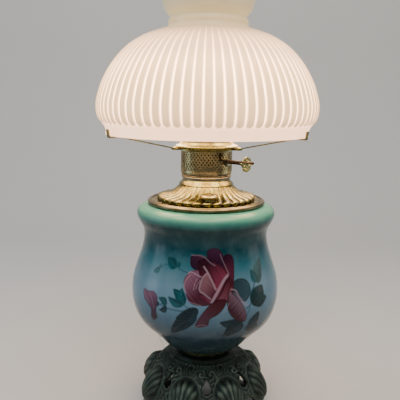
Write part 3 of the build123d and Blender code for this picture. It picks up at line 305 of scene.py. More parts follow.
def flutes_tree():
    """Rounded ribs round the lamp's axis, with round lower ends, where the value 'ribbed' is above 0."""
    tree = geometry_tree("Ribs Round A Dome", Ribs="NodeSocketInt", Depth="NodeSocketFloat",
                         Material="NodeSocketMaterial")
    given = tree.nodes.new("NodeGroupInput").outputs
    spot = node_in(tree, "ShaderNodeSeparateXYZ", {0: tree.nodes.new("GeometryNodeInputPosition").outputs[0]})
    angle = math_in(tree, "ARCTAN2", spot.outputs[1], spot.outputs[0])
    turns = math_in(tree, "MULTIPLY", math_in(tree, "DIVIDE", angle, 2 * math.pi), given["Ribs"])
    within = math_in(tree, "FRACT", math_in(tree, "ADD", turns, 1000.5))
    across = math_in(tree, "MULTIPLY_ADD", within, 2.0, -1.0)
    ribbed, end = (
        node_in(tree, "GeometryNodeInputNamedAttribute", {"Name": name}, data_type="FLOAT").outputs[0]
        for name in ("ribbed", "rib_end"))
    off = math_in(tree, "ADD", math_in(tree, "MULTIPLY", across, across), math_in(tree, "MULTIPLY", end, end))
    crest = math_in(tree, "POWER", math_in(tree, "SUBTRACT", 1.0, off, clamp=True), 0.5)
    raised_by = math_in(tree, "MULTIPLY", crest, ribbed)
    rise = math_in(tree, "MULTIPLY", raised_by, given["Depth"])
    outwards = node_in(tree, "ShaderNodeVectorMath", {
        0: tree.nodes.new("GeometryNodeInputNormal").outputs[0], "Scale": rise}, operation="SCALE").outputs[0]
    moved = node_in(tree, "GeometryNodeSetPosition", {"Geometry": given["Geometry"], "Offset": outwards})
    marked = node_in(tree, "GeometryNodeStoreNamedAttribute", {
        "Geometry": moved.outputs[0], "Name": "crest", "Value": raised_by}, data_type="FLOAT", domain="POINT")
    real = node_in(tree, "GeometryNodeRealizeInstances", {0: marked.outputs[0]})
    painted = node_in(tree, "GeometryNodeSetMaterial", {
        "Geometry": real.outputs[0], "Material": given["Material"]})
    node_in(tree, "NodeGroupOutput", {0: painted.outputs[0]})
    return tree


def grow(piece, tree, **values):
    """Run a geometry tree on a piece and keep the result as a plain mesh."""
    modifier = piece.modifiers.new(tree.name, "NODES")
    modifier.node_group = tree
    for item in tree.interface.items_tree:
        if item.in_out == "INPUT" and item.name in values:
            modifier[item.identifier] = values[item.name]
    return plain_mesh(piece)


# ---------------------------------------------------------------- materials
def tone(red, green, blue):
    """Linear colour from display values between 0 and 1."""
    linear = (v / 12.92 if v <= 0.04045 else ((v + 0.055) / 1.055) ** 2.4 for v in (red, green, blue))
    return (*linear, 1.0)


class Recipe:
    """Short way to write the nodes of a material."""

    def __init__(self, name, **values):
        self.material = bpy.data.materials.new(name)
        self.material.use_nodes = True
        self.tree = self.material.node_tree
        self.tree.nodes.clear()
        self.shader = self.tree.nodes.new("ShaderNodeBsdfPrincipled")
        node_in(self.tree, "ShaderNodeOutputMaterial", {0: self.shader.outputs[0]})
        self.place = self.tree.nodes.new("ShaderNodeTexCoord").outputs["Object"]
        self.spot = node_in(self.tree, "ShaderNodeSeparateXYZ", {0: self.place}).outputs
        for key, value in values.items():
            self.shader.inputs[key.replace("_", " ").title().replace("Ior", "IOR")].default_value = value

    def feed(self, **sockets):
        """Link sockets to the shader's inputs."""
        for key, socket in sockets.items():
            self.tree.links.new(socket, self.shader.inputs[key.replace("_", " ").title()])

    def math(self, operation, *values, clamp=False):
        """Result of a sum on two or three values."""
        return math_in(self.tree, operation, *values, clamp=clamp)

    def noise(self, scale, detail=3.0, stretch=(1, 1, 1)):
        """Cloudy value about 0.5 with a size given as features a metre."""
        spread = node_in(self.tree, "ShaderNodeMapping", {"Vector": self.place, "Scale": stretch})
        return node_in(self.tree, "ShaderNodeTexNoise", {
            "Vector": spread.outputs[0], "Scale": scale, "Detail": detail}).outputs[0]

    def between(self, value, low, high, start=0.0, end=1.0):
        """Value mapped smoothly from one range to another."""
        return node_in(self.tree, "ShaderNodeMapRange", {
            0: value, 1: low, 2: high, 3: start, 4: end}, interpolation_type="SMOOTHSTEP").outputs[0]

    def ramp(self, value, *stops):
        """Colours along a value, as (position, colour) pairs."""
        ramp = node_in(self.tree, "ShaderNodeValToRGB", {0: value})
        elements = ramp.color_ramp.elements
        while len(elements) < len(stops):
            elements.new(0.5)
        for element, (position, paint) in zip(elements, stops):
            element.position = position
            element.color = paint
        return ramp.outputs[0]

    def mix(self, factor, first, second, blend="MIX"):
        """Colour between two others."""
        return node_in(self.tree, "ShaderNodeMix", {0: factor, 6: first, 7: second},
                       data_type="RGBA", blend_type=blend).outputs[2]

    def attribute(self, name, output="Fac"):
        """Value stored on the mesh."""
        return node_in(self.tree, "ShaderNodeAttribute", attribute_name=name).outputs[output]

    def bump(self, height, distance, strength=1.0):
        """Fine relief of a depth in metres."""
        raised = node_in(self.tree, "ShaderNodeBump", {
            "Height": height, "Distance": distance, "Strength": strength}).outputs[0]
        self.tree.links.new(raised, self.shader.inputs["Normal"])


def opaque(paint):
    """Colour setting with a full alpha."""
    return (*paint, 1)


def brass_recipe(name, bright, shade, tarnish_and_shade, roughness):
    """Lacquered brass, darker with tarnish under old polish and with painted shade in recesses."""
    brass = Recipe(name, metallic=1.0, coat_weight=0.15, coat_roughness=0.2)
    clouds = brass.noise(85.0, 4.0)
    fine = brass.noise(700.0, 2.0)
    body = brass.mix(brass.between(clouds, 0.35, 0.7), bright, shade)
    stains = brass.between(clouds, 0.62, 0.8, 0.0, 0.35)
    # painted shade in grooves and under edges, from the value stored on the mesh, adds to the tarnish stains; both
    # darken the brass
    dull = brass.math("MULTIPLY_ADD", brass.attribute("recess"), 0.95, stains, clamp=True)
    grain = brass.between(fine, 0.3, 0.7, roughness - 0.05, roughness + 0.07)
    brass.feed(base_color=brass.mix(dull, body, tarnish_and_shade),
               roughness=brass.math("ADD", grain, brass.math("MULTIPLY", dull, 0.2)))
    brass.bump(fine, 0.00005)
    return brass


def aged_brass(name, bright, shade, duller):
    """Brass in colours of its own, duller than the polished brass and with the same tarnish and painted shade."""
    look = bpy.context.scene.lamp_metal
    return brass_recipe(name, bright, shade, opaque(look.tarnish_and_shade), look.roughness + duller)


def bright_brass():
    """Polished brass of the crown, collar and gallery."""
    look = bpy.context.scene.lamp_metal
    return brass_recipe("Lacquered Brass", opaque(look.bright), opaque(look.shade), opaque(look.tarnish_and_shade),
                        look.roughness)


def dark_brass():
    """Darkened brass of the burner's band, coronet and wick tube."""
    return aged_brass("Darkened Brass", tone(0.53, 0.51, 0.42), tone(0.40, 0.38, 0.31), 0.08)


def satin_brass():
    """Dull brass of the ring on the vase."""
    return aged_brass("Satin Brass", tone(0.43, 0.415, 0.30), tone(0.34, 0.325, 0.235), 0.10)


def worn_brass():
    """Worn brass of the basket and the filler cap."""
    return aged_brass("Worn Brass", tone(0.62, 0.585, 0.42), tone(0.50, 0.47, 0.33), 0.06)


def sooty_brass():
    """Blackened brass of the rods beside the flame."""
    return brass_recipe("Sooty Brass", tone(0.20, 0.16, 0.11), tone(0.10, 0.08, 0.06), tone(0.03, 0.02, 0.02),
                        0.5)


def cast_metal():
    """Dark green paint and verdigris, paler on the ridges of the casting from wear and a painted highlight, with
    painted shade in its hollows.
    """
    look = bpy.context.scene.lamp_foot
    cast = Recipe("Verdigris Casting", metallic=0.2, specular_ior_level=0.35)
    clouds = cast.noise(60.0, 5.0)
    grit = cast.noise(1200.0, 3.0)
    paint = cast.mix(cast.between(clouds, 0.35, 0.65), opaque(look.green), opaque(look.blue_green))
    # painted shade in the hollows and inside the hollow under the foot, towards near black
    deep = cast.math("MULTIPLY", cast.attribute("recess"), 0.9, clamp=True)
    patches = cast.between(clouds, 0.3, 0.6, 0.35, 1.0)
    # paler ridges in patches: worn paint and a painted highlight
    wear_and_highlight = cast.math("MULTIPLY", cast.attribute("ridge"), patches, clamp=True)
    shaded = cast.mix(deep, paint, tone(0.02, 0.03, 0.02))
    cast.feed(base_color=cast.mix(wear_and_highlight, shaded, opaque(look.wear_and_highlight)),
              roughness=cast.between(grit, 0.3, 0.7, 0.36, 0.55))
    cast.bump(cast.math("ADD", grit, cast.math("MULTIPLY", clouds, 0.5)), 0.0003, 0.8)
    return cast


def cup_enamel():
    """Olive-green aged paint with a gloss."""
    cup = Recipe("Olive Enamel", specular_ior_level=0.6, coat_weight=0.5, coat_roughness=0.12)
    clouds = cup.noise(70.0, 4.0, (1, 1, 3))
    cup.feed(base_color=cup.ramp(clouds, (0.3, tone(0.13, 0.16, 0.11)), (0.55, tone(0.24, 0.26, 0.17)),
                                 (0.8, tone(0.33, 0.32, 0.22))),
             roughness=cup.between(cup.noise(500.0), 0.3, 0.7, 0.2, 0.4))
    return cup


def painted_opal():
    """Opal glass with fired paint and painted light and shade: sea-green bulge lighter where light falls, dark
    waist in painted shadow, blue-green belly and a rose spray.
    """
    look = bpy.context.scene.lamp_vase
    vase = Recipe("Painted Opal Glass", specular_ior_level=0.15, coat_weight=0.1, coat_roughness=0.1)
    low, high = levels("vase")
    share = vase.math("DIVIDE", vase.math("SUBTRACT", vase.spot[2], low), high - low)
    drift = vase.math("MULTIPLY_ADD", vase.noise(14.0, 2.0), 0.05, -0.025)
    # the vase's own greens with painted light and shade: painted shadow at the waist and under the bulge, darker
    # towards the foot, lighter on the belly and the bulge where light falls
    stops = ((0.0, look.foot_green), (0.22, look.low_belly), (0.44, look.belly), (0.54, look.belly),
             (0.67, look.upper_belly), (0.77, look.waist), (0.905, look.under_bulge), (0.962, look.bulge),
             (1.0, look.bulge))
    ground = vase.ramp(vase.math("ADD", share, drift), *((at, opaque(paint)) for at, paint in stops))
    streaks = vase.between(vase.noise(60.0, 3.0), 0.35, 0.75, 0.0, 0.05)
    brushed = vase.mix(streaks, ground, tone(0.70, 0.80, 0.80))
    spray = vase.attribute("spray", "Color")
    cover = vase.attribute("spray", "Alpha")
    vase.feed(base_color=vase.mix(1.0, vase.mix(cover, brushed, (0, 0, 0, 1)), spray, "ADD"),
              roughness=vase.between(vase.noise(240.0), 0.3, 0.7, 0.14, 0.26))
    vase.bump(vase.noise(90.0, 2.0), 0.0002, 0.5)
    return vase


def opal_shade():
    """Satin opal glass, lit from within: thin grooves glow more than the ribs."""
    look = bpy.context.scene.lamp_shade
    opal = Recipe("Lit Opal Glass", specular_ior_level=0.35, roughness=0.34, emission_strength=look.glow,
                  coat_weight=0.15, coat_roughness=0.15)
    low, high = levels("shade")
    share = opal.math("DIVIDE", opal.math("SUBTRACT", opal.spot[2], low), high - low)
    crest = opal.attribute("crest")
    lit = opal.ramp(share, (0.0, tone(0.60, 0.45, 0.35)), (0.065, tone(0.60, 0.455, 0.355)),
                    (0.13, tone(0.85, 0.65, 0.50)), (0.3, tone(1.0, 0.80, 0.59)),
                    (0.46, tone(0.99, 0.76, 0.57)), (0.57, tone(0.80, 0.595, 0.44)),
                    (0.69, tone(0.275, 0.20, 0.105)), (0.76, tone(0.265, 0.22, 0.105)),
                    (0.84, tone(0.15, 0.16, 0.10)), (1.0, tone(0.13, 0.135, 0.08)))
    dark = opal.ramp(share, (0.09, tone(0.56, 0.575, 0.52)), (0.3, tone(0.525, 0.51, 0.475)),
                     (0.55, tone(0.68, 0.69, 0.66)), (0.72, tone(1.0, 1.0, 1.0)))
    ribs = opal.mix(opal.between(crest, 0.28, 0.86), lit, opal.mix(1.0, lit, dark, "MULTIPLY"))
    clouds = opal.between(opal.noise(40.0, 3.0), 0.3, 0.8, 0.0, 0.10)
    opal.feed(emission_color=opal.mix(clouds, ribs, tone(0.45, 0.34, 0.25)),
              base_color=opal.mix(crest, tone(0.85, 0.79, 0.69), tone(0.78, 0.71, 0.60)))
    opal.bump(opal.noise(500.0, 2.0), 0.00004)
    return opal


def clear_glass():
    """Thin clear glass of the chimney."""
    glass = Recipe("Clear Lamp Glass", transmission_weight=1.0, ior=1.45, specular_ior_level=0.5,
                   base_color=(0.97, 0.99, 0.98, 1), alpha=0.35)
    glass.feed(roughness=glass.between(glass.noise(60.0), 0.3, 0.7, 0.0, 0.05))
    glass.bump(glass.noise(35.0, 1.0), 0.0002, 0.3)
    return glass


def frosted_bulb():
    """Lit frosted glass of the bulb."""
    bulb = Recipe("Frosted Bulb", roughness=0.4, emission_strength=3.0)
    bulb.feed(base_color=bulb.ramp(bulb.noise(90.0), (0.3, tone(0.98, 0.94, 0.86)),
                                   (0.7, tone(1.0, 0.98, 0.92))),
              emission_color=bulb.ramp(bulb.noise(60.0), (0.3, tone(1.0, 0.90, 0.72)),
                                       (0.7, tone(1.0, 0.94, 0.80))))
    return bulb


def cotton():
    """Woven wick: fine threads along it, crossed by a weft."""
    wick = Recipe("Woven Cotton", sheen_weight=0.4, specular_ior_level=0.2)
    angle = wick.math("ARCTAN2", wick.spot[1], wick.spot[0])
    warp = wick.math("SINE", wick.math("MULTIPLY", angle, 90.0))
    weft = wick.math("SINE", wick.math("MULTIPLY", wick.spot[2], 4200.0))
    weave = wick.math("MULTIPLY", warp, weft)
    wick.feed(base_color=wick.ramp(wick.math("MULTIPLY_ADD", weave, 0.3, 0.5),
                                   (0.2, tone(0.66, 0.61, 0.50)), (0.8, tone(0.90, 0.86, 0.76))),
              roughness=wick.between(wick.noise(800.0), 0.3, 0.7, 0.75, 0.95))
    wick.bump(weave, 0.0002)
    return wick


def even_finish(name, dark, light, clouds, grain, dull, relief, depth, stretch=(1, 1, 1), detail=3.0,
                **values):
    """Plain material with faint clouds of colour, an uneven gloss and fine relief.

    clouds, grain and relief are features a metre, and depth is the relief's in metres.
    """
    even = Recipe(name, **values)
    even.feed(base_color=even.ramp(even.noise(clouds), (0.3, dark), (0.7, light)),
              roughness=even.between(even.noise(grain, 3.0, stretch), 0.3, 0.7, *dull))
    even.bump(even.noise(relief, detail), depth)
    return even


def rubber():
    """Black rubber of the washers."""
    return even_finish("Black Rubber", tone(0.07, 0.07, 0.07), tone(0.14, 0.14, 0.13), 300.0, 900.0,
                       (0.55, 0.8), 1500.0, 0.0001, specular_ior_level=0.35)


def zinc_steel():
    """Zinc-plated steel with fine streaks up it."""
    return even_finish("Zinc-Plated Steel", tone(0.52, 0.52, 0.54), tone(0.70, 0.71, 0.72), 120.0, 900.0,
                       (0.22, 0.4), 1600.0, 0.00004, stretch=(1, 1, 0.1), detail=2.0, metallic=1.0)


def phenolic():
    """Black moulding of the socket."""
    return even_finish("Black Phenolic", tone(0.06, 0.05, 0.05), tone(0.12, 0.10, 0.09), 200.0, 500.0,
                       (0.25, 0.4), 1200.0, 0.00005, specular_ior_level=0.5)


def white_flex():
    """White plastic of the cord and plug."""
    return even_finish("White Flexible Plastic", tone(0.86, 0.85, 0.81), tone(0.93, 0.92, 0.89), 140.0, 900.0,
                       (0.38, 0.52), 1500.0, 0.00005, specular_ior_level=0.45)


def studio_paper():
    """Pale paper under and behind the lamp."""
    look = bpy.context.scene.lamp_stage
    paper = Recipe("Studio Paper", specular_ior_level=0.1, roughness=0.9)
    clouds = paper.between(paper.noise(3.0, 2.0), 0.2, 0.8, 0.0, 0.06)
    paper.feed(base_color=paper.mix(clouds, opaque(look.paper), (0.4, 0.4, 0.4, 1)))
    return paper


finishes = {}


def finish(recipe):
    """Material that a recipe makes, made when first asked for."""
    if recipe not in finishes:
        finishes[recipe] = recipe().material
    return finishes[recipe]


# ---------------------------------------------------------------- settings
def colour(label, red, green, blue):
    """Colour setting with its default as a display colour."""
    return FloatVectorProperty(name=label, description=f"{label} of the finish", subtype="COLOR", size=3,
                               min=0.0, max=1.0, default=tone(red, green, blue)[:3])


def length(label, description, default):
    """Length setting in metres."""
    return FloatProperty(name=label, description=description, subtype="DISTANCE", unit="LENGTH", min=0.0,
                         default=default)


def power(label, description, default):
    """Power setting of a light in watts."""
    return FloatProperty(name=label, description=description, unit="POWER", default=default)


class LampMetalSettings(bpy.types.PropertyGroup):
    """Brass of the ring, crown and burner."""
    bright: colour("Polished brass", 0.50, 0.49, 0.285)
    shade: colour("Brass in shade", 0.38, 0.37, 0.215)
    # colour of tarnish stains and of the painted shade in the brass's recesses
    tarnish_and_shade: colour("Tarnish", 0.13, 0.12, 0.09)
    roughness: FloatProperty(name="Roughness", description="How dull the brass is", subtype="FACTOR",
                             min=0.0, max=1.0, default=0.24)


class LampFootSettings(bpy.types.PropertyGroup):
    """Casting under the vase."""
    green: colour("Dark green", 0.08, 0.135, 0.10)
    blue_green: colour("Verdigris", 0.12, 0.19, 0.16)
    # colour of the ridges: worn paint with a painted highlight
    wear_and_highlight: colour("Worn ridges", 0.34, 0.39, 0.33)
    relief: length("Relief", "Depth of the leaf veins", 1.5 * MM)
    grain: length("Grain", "Size of the mesh that the relief is cut in", 1.2 * MM)


class LampVaseSettings(bpy.types.PropertyGroup):
    """Painted glass vase, with its colours from foot to mouth, painted light and shade among them."""
    # foot and low belly darker with painted shade
    foot_green: colour("Foot", 0.10, 0.165, 0.17)
    low_belly: colour("Low belly", 0.14, 0.22, 0.27)
    belly: colour("Belly", 0.36, 0.49, 0.57)
    upper_belly: colour("Upper belly", 0.17, 0.385, 0.44)
    # waist and under the bulge: painted shadow of the bulge over the paint's own teal
    waist: colour("Waist", 0.0, 0.225, 0.26)
    under_bulge: colour("Under the bulge", 0.0, 0.19, 0.205)
    # bulge lighter with painted light where light falls on it
    bulge: colour("Bulge", 0.27, 0.545, 0.49)


class LampShadeSettings(bpy.types.PropertyGroup):
    """Ribbed glass shade."""
    ribs: IntProperty(name="Ribs", description="Ribs round the dome", min=8, default=76)
    rib_depth: length("Rib depth", "How far a rib stands out of its grooves", 1.8 * MM)
    glow: FloatProperty(name="Glow", description="Brightness of the lit glass", min=0.0, default=9.0)


class LampBurnerSettings(bpy.types.PropertyGroup):
    """Perforated basket and its beads."""
    tiles: IntProperty(name="Tiles", description="Diamond tiles round the basket", min=8, default=46)
    tile_rows: IntProperty(name="Tile rows", description="Diamond tiles up the basket", min=1, default=4)
    beads: IntProperty(name="Beads", description="Beads round the basket's foot", min=8, default=84)


class LampCordSettings(bpy.types.PropertyGroup):
    """Mains cord."""
    length: length("Length", "Whole length of the cord", 1.8)
    diameter: length("Diameter", "Thickness of the cord", 5.0 * MM)


class LampStageSettings(bpy.types.PropertyGroup):
    """Camera, light and ground."""
    camera: FloatVectorProperty(name="Camera", description="Where the camera stands", size=3,
                                subtype="TRANSLATION", unit="LENGTH", default=(-0.0077, -0.715, 0.420))
    pitch: FloatProperty(name="Pitch", description="How far the camera looks down", subtype="ANGLE",
                         default=math.radians(10.3))
    roll: FloatProperty(name="Roll", description="How far the camera leans", subtype="ANGLE",
                        default=math.radians(0.7))
    lens: FloatProperty(name="Lens", description="Focal length", unit="CAMERA", default=50.4)
    paper: colour("Paper", 0.86, 0.85, 0.83)
    key: power("Window light", "Power of the light on the left", 9.0)
    top: power("Top light", "Power of the light in front and above", 26.0)
    fill: power("Side light", "Power of the light on the right", 4.0)
    back: power("Back light", "Power of the light on the backdrop", 16.0)
    under_shade: power("Light under the shade", "Power of the light that the shade throws down", 0.22)


# ---------------------------------------------------------------- stage
# paper, in metres
SWEEP_HALF = 5.0         # half its width
SWEEP_FRONT = -4.0       # where its front edge lies
SWEEP_TURN = 0.9         # where it turns up behind the lamp
SWEEP_RADIUS = 0.6
SWEEP_TOP = 4.0
CAMERA_SENSOR = 36.0
# lights: name, setting of the power, width, height, place, target, tint
AREA_LIGHTS = (
    ("window_light", "key", 0.7, 1.7, (-1.6, -0.1, 0.65), (0, 0, 0.25), (0.72, 0.86, 1.0)),
    ("top_light", "top", 1.5, 1.2, (0.1, -1.2, 1.9), (0, 0, 0.2), (1.0, 0.98, 0.95)),
    ("side_light", "fill", 0.7, 1.3, (1.5, 0.1, 0.6), (0, 0, 0.25), (1.0, 0.95, 0.88)),
    ("back_light", "back", 2.4, 1.4, (0.0, 0.2, 2.2), (0, 1.2, 0.3), (1.0, 0.98, 0.96)))
BULB_LIGHTS = 4
BULB_LIGHT_RADIUS = 0.085   # of the ring that they stand in
BULB_LIGHT_SIZE = 0.03      # which is also how far they are over the shade's rim
BULB_TINT = (1.0, 0.92, 0.80)
SKY = (0.78, 0.85, 0.95, 1)
SKY_STRENGTH = 0.16


def add_light(name, kind, watts, place, tint):
    """Light of a kind at a place."""
    lamp = bpy.data.lights.new(name, kind)
    lamp.energy = watts
    lamp.color = tint
    light = bpy.data.objects.new(name, lamp)
    light.location = place
    bpy.context.scene.collection.objects.link(light)
    return light


def area_light(name, watts, width, height, place, target, tint):
    """Soft upright light that faces a target."""
    light = add_light(name, "AREA", watts, place, tint)
    light.data.shape = "RECTANGLE"
    light.data.size = width
    light.data.size_y = height
    light.rotation_euler = (Vector(target) - Vector(place)).to_track_quat("-Z", "Y").to_euler()


def build_paper():
    """Sheet of paper that lies under the lamp and turns up behind it."""
    bend = [(SWEEP_TURN + SWEEP_RADIUS * math.sin(a), SWEEP_RADIUS - SWEEP_RADIUS * math.cos(a))
            for a in np.radians(np.linspace(7.5, 90, 12))]
    profile = [(SWEEP_FRONT, 0.0), (SWEEP_TURN, 0.0), *bend, (SWEEP_TURN + SWEEP_RADIUS, SWEEP_TOP)]
    vertices = [(x, y, z) for y, z in profile for x in (-SWEEP_HALF, SWEEP_HALF)]
    faces = [(2 * i, 2 * i + 1, 2 * i + 3, 2 * i + 2) for i in range(len(profile) - 1)]
    mesh = bpy.data.meshes.new("paper_sweep")
    mesh.from_pydata(vertices, [], faces)
    mesh.shade_smooth()
    paper = new_object("paper_sweep", mesh)
    paper.data.materials.append(finish(studio_paper))


def build_stage():
    """Paper, camera, lights and sky."""
    look = bpy.context.scene.lamp_stage
    build_paper()
    camera = bpy.data.objects.new("camera", bpy.data.cameras.new("camera"))
    camera.data.lens = look.lens
    camera.data.sensor_width = CAMERA_SENSOR
    camera.matrix_world = (Matrix.Translation(look.camera) @ Matrix.Rotation(math.pi / 2 - look.pitch, 4, "X")
                           @ Matrix.Rotation(look.roll, 4, "Z"))
    bpy.context.scene.collection.objects.link(camera)
    bpy.context.scene.camera = camera

    for name, setting, *rest in AREA_LIGHTS:
        area_light(name, getattr(look, setting), *rest)
    low, _ = levels("shade")
    for number in range(BULB_LIGHTS):
        angle = 2 * math.pi * (number + 0.5) / BULB_LIGHTS
        place = (BULB_LIGHT_RADIUS * math.cos(angle), BULB_LIGHT_RADIUS * math.sin(angle),
                 low + BULB_LIGHT_SIZE)
        light = add_light(f"bulb_light_{number}", "POINT", look.under_shade, place, BULB_TINT)
        light.data.shadow_soft_size = BULB_LIGHT_SIZE

    world = bpy.data.worlds.new("studio")
    world.use_nodes = True
    background = world.node_tree.nodes["Background"]
    background.inputs[0].default_value = SKY
    background.inputs[1].default_value = SKY_STRENGTH
    bpy.context.scene.world = world


# ---------------------------------------------------------------- cord
# places in millimetres, as in the solids
CORD_EXIT_RADIUS = 85.9  # where the cord leaves the foot's bushing
CORD_ROUTE = ((-48.17, 101.0, 16.0), (-55.92, 117.25, 16.0), (-60.5, 137.0, 9.6), (-61.0, 161.0, 3.0),
              (-63.5, 188.0, 2.6), (-73.5, 216.0, 2.6), (-77.0, 243.0, 2.6), (-62.0, 264.0, 2.6),
              (-36.0, 268.0, 2.6), (-13.0, 254.0, 2.6), (-5.5, 228.0, 2.6), (-9.5, 202.0, 2.6))
TAIL_ROUTE = ((46.0, 184.0, 6.6), (34.0, 202.0, 8.6), (34.0, 218.0, 8.6))
COIL_MIDDLE = (24.0, 150.0)
COIL_RADII = (35.0, 30.0, 25.0, 20.0, 20.0, 25.0, 30.0, 35.0)
COIL_LEVELS = (2.6, 7.6)
COIL_STEPS = 24
# angles of the coil in degrees
COIL_START = 180.0          # round its middle, where the others count from
COIL_LEAVES = 214.0         # where the last turn goes over into the tail
COIL_INWARD_TURNS = 3
COIL_INWARDS = (310, 355)   # where such a turn moves to the next radius
COIL_OUTWARDS = (220, 270)  # where the others do
COIL_CLIMB = (1350, 1390)   # where the cord climbs to the upper layer


def eased(angle, first, last):
    """Smooth share of the way from a first angle to a last one."""
    return float(soft_step(first, last, angle))


def coil_route():
    """Points of eight turns in two layers, wound inwards below and outwards above."""
    route = []
    swell = 1.0 / math.cos(math.pi / COIL_STEPS)
    last = len(COIL_RADII) - 1
    for angle in np.arange(0.0, last * 360.0 + COIL_LEAVES, 360.0 / COIL_STEPS):
        turn, part = int(angle // 360), angle % 360
        here, after = COIL_RADII[turn], COIL_RADII[min(turn + 1, last)]
        moves = COIL_INWARDS if turn < COIL_INWARD_TURNS else COIL_OUTWARDS
        radius = swell * (here + (after - here) * eased(part, *moves))
        climb = eased(angle, *COIL_CLIMB)
        around = math.radians(COIL_START + part)
        route.append((COIL_MIDDLE[0] + radius * math.cos(around), COIL_MIDDLE[1] + radius * math.sin(around),
                      COIL_LEVELS[0] + (COIL_LEVELS[1] - COIL_LEVELS[0]) * climb))
    return route


def build_cord():
    """Cord from the foot's bushing over the coil to the plug, with its fittings."""
    look = bpy.context.scene.lamp_cord
    away = Vector(CORD_ROUTE[0][:2]).normalized() * CORD_EXIT_RADIUS
    start = (away.x, away.y, CORD_ROUTE[0][2])
    low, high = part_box("plug_body")
    end = ((low.x + high.x) / 2 / MM, low.y / MM, (low.z + high.z) / 2 / MM)
    route = [start, *CORD_ROUTE, *coil_route(), *TAIL_ROUTE, end]
    line = bpy.data.curves.new("mains_cord", "CURVE")
    line.dimensions = "3D"
    line.resolution_u = 6
    line.bevel_depth = look.diameter / 2
    line.bevel_resolution = 4
    line.use_fill_caps = True
    spline = line.splines.new("NURBS")
    spline.points.add(len(route) - 1)
    for point, place in zip(spline.points, route):
        point.co = (*(value * MM for value in place), 1.0)
    spline.order_u = 3
    spline.use_endpoint_u = True
    cord = new_object("mains_cord", line)
    dress(cord, finish(white_flex), "cord", "cord_coil", "cord_tail")
    for node in ("cord_relief", "plug_relief", "plug_body", "cord_bushing", "inner_lead"):
        dress_node(node, finish(white_flex))
    dress_node("plug_pins", finish(zinc_steel))


# ---------------------------------------------------------------- shade
# radius and height over the rim, in millimetres, along the crest of the ribs
SHADE_RIM = (127.0, 0.0)
SHADE_CREST = ((127.0, 6.0), (129.6, 12.0), (135.0, 18.0), (137.7, 25.0), (138.5, 33.0), (138.0, 41.0),
               (135.5, 51.0), (131.4, 63.0), (125.4, 75.0), (117.8, 87.0), (107.9, 99.0), (95.9, 109.6),
               (81.2, 118.6), (66.0, 124.6), (55.0, 128.2), (50.0, 130.6))
SHADE_NECK = ((48.9, 133.4), (49.3, 135.6), (48.7, 138.4), (47.3, 140.6), (47.2, 142.6), (49.4, 145.4),
              (52.6, 149.6), (55.2, 154.8), (56.4, 160.6), (56.4, 166.8), (54.6, 173.4), (51.6, 178.2),
              (49.2, 181.0))
SHADE_INNER_RIM = (123.0, 0.0)
SHADE_WALL = 5.4         # from the crest of the ribs
RIB_START = 13.0         # over the rim
RIB_STEPS = 8            # points round each rib
RIB_ROOT = 1.2           # length over which a rib starts
RIB_SINK = 3.0           # length over which its grooves go in
RIB_FADE = 26.0          # length over which it runs out under the neck
SHADE_COARSE = 2.6       # distance between points up the dome
SHADE_FINE = 0.9         # and where the ribs start and end
SHADE_FINE_START = (-5.0, 9.0)  # from the ribs' start
SHADE_FINE_TOP = 60.0    # from the top


def shade_places(run, start):
    """Distances along the shade's outline, closer at the start of the ribs and round the neck."""
    places = [0.0]
    while places[-1] < run[-1]:
        here = places[-1]
        fine = SHADE_FINE_START[0] < here - start < SHADE_FINE_START[1] or here > run[-1] - SHADE_FINE_TOP
        places.append(here + (SHADE_FINE if fine else SHADE_COARSE))
    places[-1] = run[-1]
    return np.array(places)


def build_shade():
    """Ribbed dome with a plain band, a neck and a second bulge, in one wall of glass."""
    look = bpy.context.scene.lamp_shade
    crest = curve_through([SHADE_RIM, *SHADE_CREST, *SHADE_NECK], 6)
    run = run_along(crest)
    start = np.interp(RIB_START, crest[:20, 1], run[:20])
    places = shade_places(run, start)
    crest = points_at(crest, run, places)
    neck = np.interp(SHADE_CREST[-1][1], crest[:, 1], places)
    fade = np.clip((neck - 1.0 - places) / RIB_FADE, 0, 1) ** 0.8
    ribbed = np.clip((places - start) / RIB_ROOT, 0, 1) * fade
    rib_end = np.clip(1.0 - (places - start) / (math.pi * crest[:, 0] / look.ribs), 0.0, 1.0)
    sink = look.rib_depth / MM * np.clip((places - start) / RIB_SINK, 0, 1) * fade
    outer = inset(crest, sink[:, None])
    inner = inset(crest[::3], SHADE_WALL)[::-1]
    inner[-1] = SHADE_INNER_RIM
    inner[0, 1] = crest[-1, 1]
    outline = np.vstack([outer, inner])
    steps = look.ribs * RIB_STEPS
    shade = lathe("shade_glass", raised(outline, levels("shade")[0]), steps, sharp=60)
    for name, outside, elsewhere in (("ribbed", ribbed, 0.0), ("rib_end", rib_end, 1.0)):
        values = np.full((len(outline), steps), elsewhere)
        values[:len(outer)] = outside[:, None]
        add_attribute(shade, name, values.ravel())
    shade = grow(shade, flutes_tree(), Ribs=look.ribs, Depth=look.rib_depth, Material=finish(opal_shade))
    dress(shade, finish(opal_shade), "shade")


# ---------------------------------------------------------------- vase
# radius and height over the vase's foot, in millimetres
VASE_SIDE = ((36.0, 0.0), (40.5, 0.6), (48.0, 2.6), (54.6, 7.4), (61.4, 14.8), (71.6, 25.2), (84.4, 38.2),
             (92.1, 53.0), (95.9, 72.0), (94.7, 93.0), (89.0, 113.0), (82.4, 133.0), (79.6, 149.4),
             (81.0, 160.6), (85.4, 168.8), (88.8, 177.0), (87.6, 183.6), (82.6, 187.4), (75.4, 189.8))
VASE_LIP = ((75.0, 190.0), (70.7, 190.0))
VASE_HOLE = 5.1
VASE_FLOOR = 5.0
VASE_WALL = 4.0
VASE_INSIDE = (34.0, 186.0)     # smallest radius and highest level of the inner side
VASE_FLOOR_EDGE = (32.0, 5.0)
VASE_PAINTED = (40.0, 155.0)    # levels between which the spray is
VASE_FRONT = (-145.0, -35.0)    # degrees between which it is
VASE_COARSE = (1.8, 3.125)      # distance between points up the side, degrees between them round it
VASE_FINE = (0.75, 0.5)         # and where the spray is


